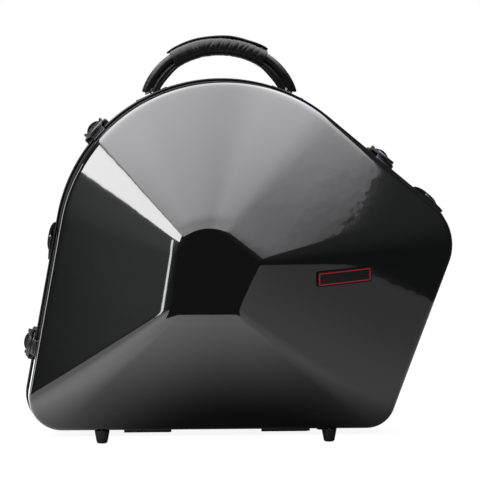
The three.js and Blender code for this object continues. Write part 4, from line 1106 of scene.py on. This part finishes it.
def levels_across(tree, value, start, end, levels):
    """Levels of brightness at places from 0 to 1, between two values in metres."""
    share = add_node(tree, "ShaderNodeMapRange", {
        "Value": value, "From Min": start, "From Max": end, "To Min": 0.0, "To Max": 1.0})
    profile = add_node(tree, "ShaderNodeValToRGB", {"Fac": share.outputs[0]})
    profile.color_ramp.interpolation = "EASE"
    stops = profile.color_ramp.elements
    for place, level in levels:
        stops.new(place).color = (level, level, level, 1)
    stops.remove(stops[0])
    stops.remove(stops[-1])
    return profile.outputs[0]


# The long soft box hangs level. It is brightest over the case and fades to the front and the back.
# From left to right it dips a little at its middle and fades at its end, which is cut on the slant.
BOX_OVER = 1.7
over = CAMERA_TARGET.z + BOX_OVER
LONG_BOX_LEFT = -1.22 * BOX_OVER
LONG_BOX_RIGHT_FRONT = 1.29 * BOX_OVER
LONG_BOX_RIGHT_BACK = 0.76 * BOX_OVER
LONG_BOX_HALF = 2.3 * BOX_OVER
LONG_BOX_LEVELS = (
    (0.18, 1.0), (0.33, 0.9), (0.53, 0.81), (0.65, 0.97), (0.8, 0.98), (0.9, 0.81), (0.948, 0.58),
    (0.968, 0.4), (0.985, 0.3),
)
tree, glow = lit_panel("long_soft_box", [
    (LONG_BOX_LEFT, -LONG_BOX_HALF, over), (LONG_BOX_RIGHT_FRONT, -LONG_BOX_HALF, over),
    (LONG_BOX_RIGHT_BACK, LONG_BOX_HALF, over), (LONG_BOX_LEFT, LONG_BOX_HALF, over)])
glow.inputs["Color"].default_value = linear("#fbfbff")
where = add_node(tree, "ShaderNodeTexCoord").outputs["Object"]
parts = add_node(tree, "ShaderNodeSeparateXYZ", {0: where})
across_box = levels_across(tree, parts.outputs[0], -2.0, 2.0, LONG_BOX_LEVELS)
distance = add_node(tree, "ShaderNodeMath", {0: parts.outputs[1]}, operation="ABSOLUTE")
along_box = add_node(tree, "ShaderNodeMapRange", {
    "Value": distance.outputs[0], "From Min": 0.8, "From Max": 2.0, "To Min": 5.1, "To Max": 2.3})
add_node(tree, "ShaderNodeMath", {
    0: across_box, 1: along_box.outputs[0]}, glow.inputs["Strength"], operation="MULTIPLY")

# Upright panels: a brighter soft box at the left with a narrow lit strip on its stand, a dark flag
# close in front of the case's bottom, and a card far behind its left side.
LEFT_BOX_X = -1.25 * BOX_OVER
LEFT_BOX_FRONT, LEFT_BOX_BACK = -1.92 * BOX_OVER, -0.3 * BOX_OVER
LEFT_BOX_LOW = CAMERA_TARGET.z + 0.62 * BOX_OVER
lit_panel("left_soft_box", standing(
    (LEFT_BOX_X, LEFT_BOX_BACK), (LEFT_BOX_X, LEFT_BOX_FRONT), low=LEFT_BOX_LOW, high=over),
    strength=8.5)
lit_panel("left_lit_strip", standing((-1.74, -1.48), (-1.64, -1.58), low=-0.3, high=1.0), strength=7.0)
lit_panel("black_flag", standing((-0.24, -0.42), (0.08, -0.42), low=0.0, high=0.3), strength=0.05)
lit_panel("side_card", standing((-2.6, 1.0), (-2.6, 1.7), low=0.0, high=1.7), strength=2.6)

# What the case's lower faces mirror of the table, as a glowing panel with its light and shadow
# painted: painted light, brighter at the left and pale further out, and a painted shadow, dark in
# an oval where the case stands.
PAINTED_TABLE_LIGHT_LEVELS = (
    (0.0, 0.6), (0.2, 1.0), (0.35, 0.8), (0.46, 0.6), (0.56, 0.38), (0.7, 0.28), (0.92, 0.18),
)
PAINTED_SHADOW_HALF_WIDTH, PAINTED_SHADOW_HALF_DEPTH = 0.27, 0.16
tree, glow = lit_panel("painted_table_light_and_shadow", [
    (TABLE_LEFT, TABLE_FRONT, 0), (TABLE_RIGHT, TABLE_FRONT, 0), (TABLE_RIGHT, TABLE_BACK, 0),
    (TABLE_LEFT, TABLE_BACK, 0)])
where = add_node(tree, "ShaderNodeTexCoord").outputs["Object"]
parts = add_node(tree, "ShaderNodeSeparateXYZ", {0: where})
# Painted light across the table, from the left lamps' side.
painted_light_across_table = levels_across(tree, parts.outputs[0], -0.6, 0.7, PAINTED_TABLE_LIGHT_LEVELS)
# The painted shadow: the glow falls to 0.05 inside an oval round where the case stands, and rises
# to 1.65 outside it.
oval = add_node(tree, "ShaderNodeVectorMath", {
    0: where, 1: (1 / PAINTED_SHADOW_HALF_WIDTH, 1 / PAINTED_SHADOW_HALF_DEPTH, 0)}, operation="MULTIPLY")
oval = add_node(tree, "ShaderNodeVectorMath", {0: oval.outputs[0]}, operation="LENGTH")
painted_shadow = add_node(tree, "ShaderNodeMapRange", {
    "Value": oval.outputs["Value"], "From Min": 0.55, "From Max": 1.75, "To Min": 0.05,
    "To Max": 1.65}, interpolation_type="SMOOTHSTEP")
add_node(tree, "ShaderNodeMath", {
    0: painted_light_across_table, 1: painted_shadow.outputs[0]}, glow.inputs["Strength"], operation="MULTIPLY")

# The world is white behind the case and fills its shadows only faintly. In reflections the drapes
# stand before it.
WORLD_FILL = 0.2
world = bpy.data.worlds.new("studio")
bpy.context.scene.world = world
world.use_nodes = True
tree = world.node_tree
tree.nodes.clear()
rays = add_node(tree, "ShaderNodeLightPath")
seen = add_node(tree, "ShaderNodeMath", {
    0: rays.outputs["Is Camera Ray"], 1: rays.outputs["Is Glossy Ray"]}, operation="MAXIMUM")
seen = add_node(tree, "ShaderNodeMath", {
    0: seen.outputs[0], 1: rays.outputs["Is Transmission Ray"]}, operation="MAXIMUM")
plain = add_node(tree, "ShaderNodeBackground", {"Color": (1, 1, 1, 1), "Strength": WORLD_FILL})
white = add_node(tree, "ShaderNodeBackground", {"Color": (1, 1, 1, 1), "Strength": 1.0})
mixed = add_node(tree, "ShaderNodeMixShader", {
    0: seen.outputs[0], 1: plain.outputs[0], 2: white.outputs[0]})
add_node(tree, "ShaderNodeOutputWorld", {"Surface": mixed.outputs[0]})


def lamp(name, azimuth, height_angle, distance, width, height, radiance):
    """A soft lamp that faces the case from a direction."""
    data = bpy.data.lights.new(name, "AREA")
    data.shape = "RECTANGLE"
    data.size = width
    data.size_y = height
    data.energy = radiance * math.pi * width * height
    light = bpy.data.objects.new(name, data)
    bpy.context.scene.collection.objects.link(light)
    towards = direction(azimuth, height_angle)
    light.location = CAMERA_TARGET + towards * distance
    light.rotation_euler = towards.to_track_quat("Z", "Y").to_euler()
    light.visible_glossy = False


lamp("top_lamp", azimuth=-8, height_angle=58, distance=2.2, width=2.4, height=1.6, radiance=1.5)
lamp("left_lamp", azimuth=-62, height_angle=32, distance=2.2, width=0.8, height=1.6, radiance=2.4)
lamp("back_lamp", azimuth=170, height_angle=50, distance=2.4, width=1.6, height=1.2, radiance=0.3)
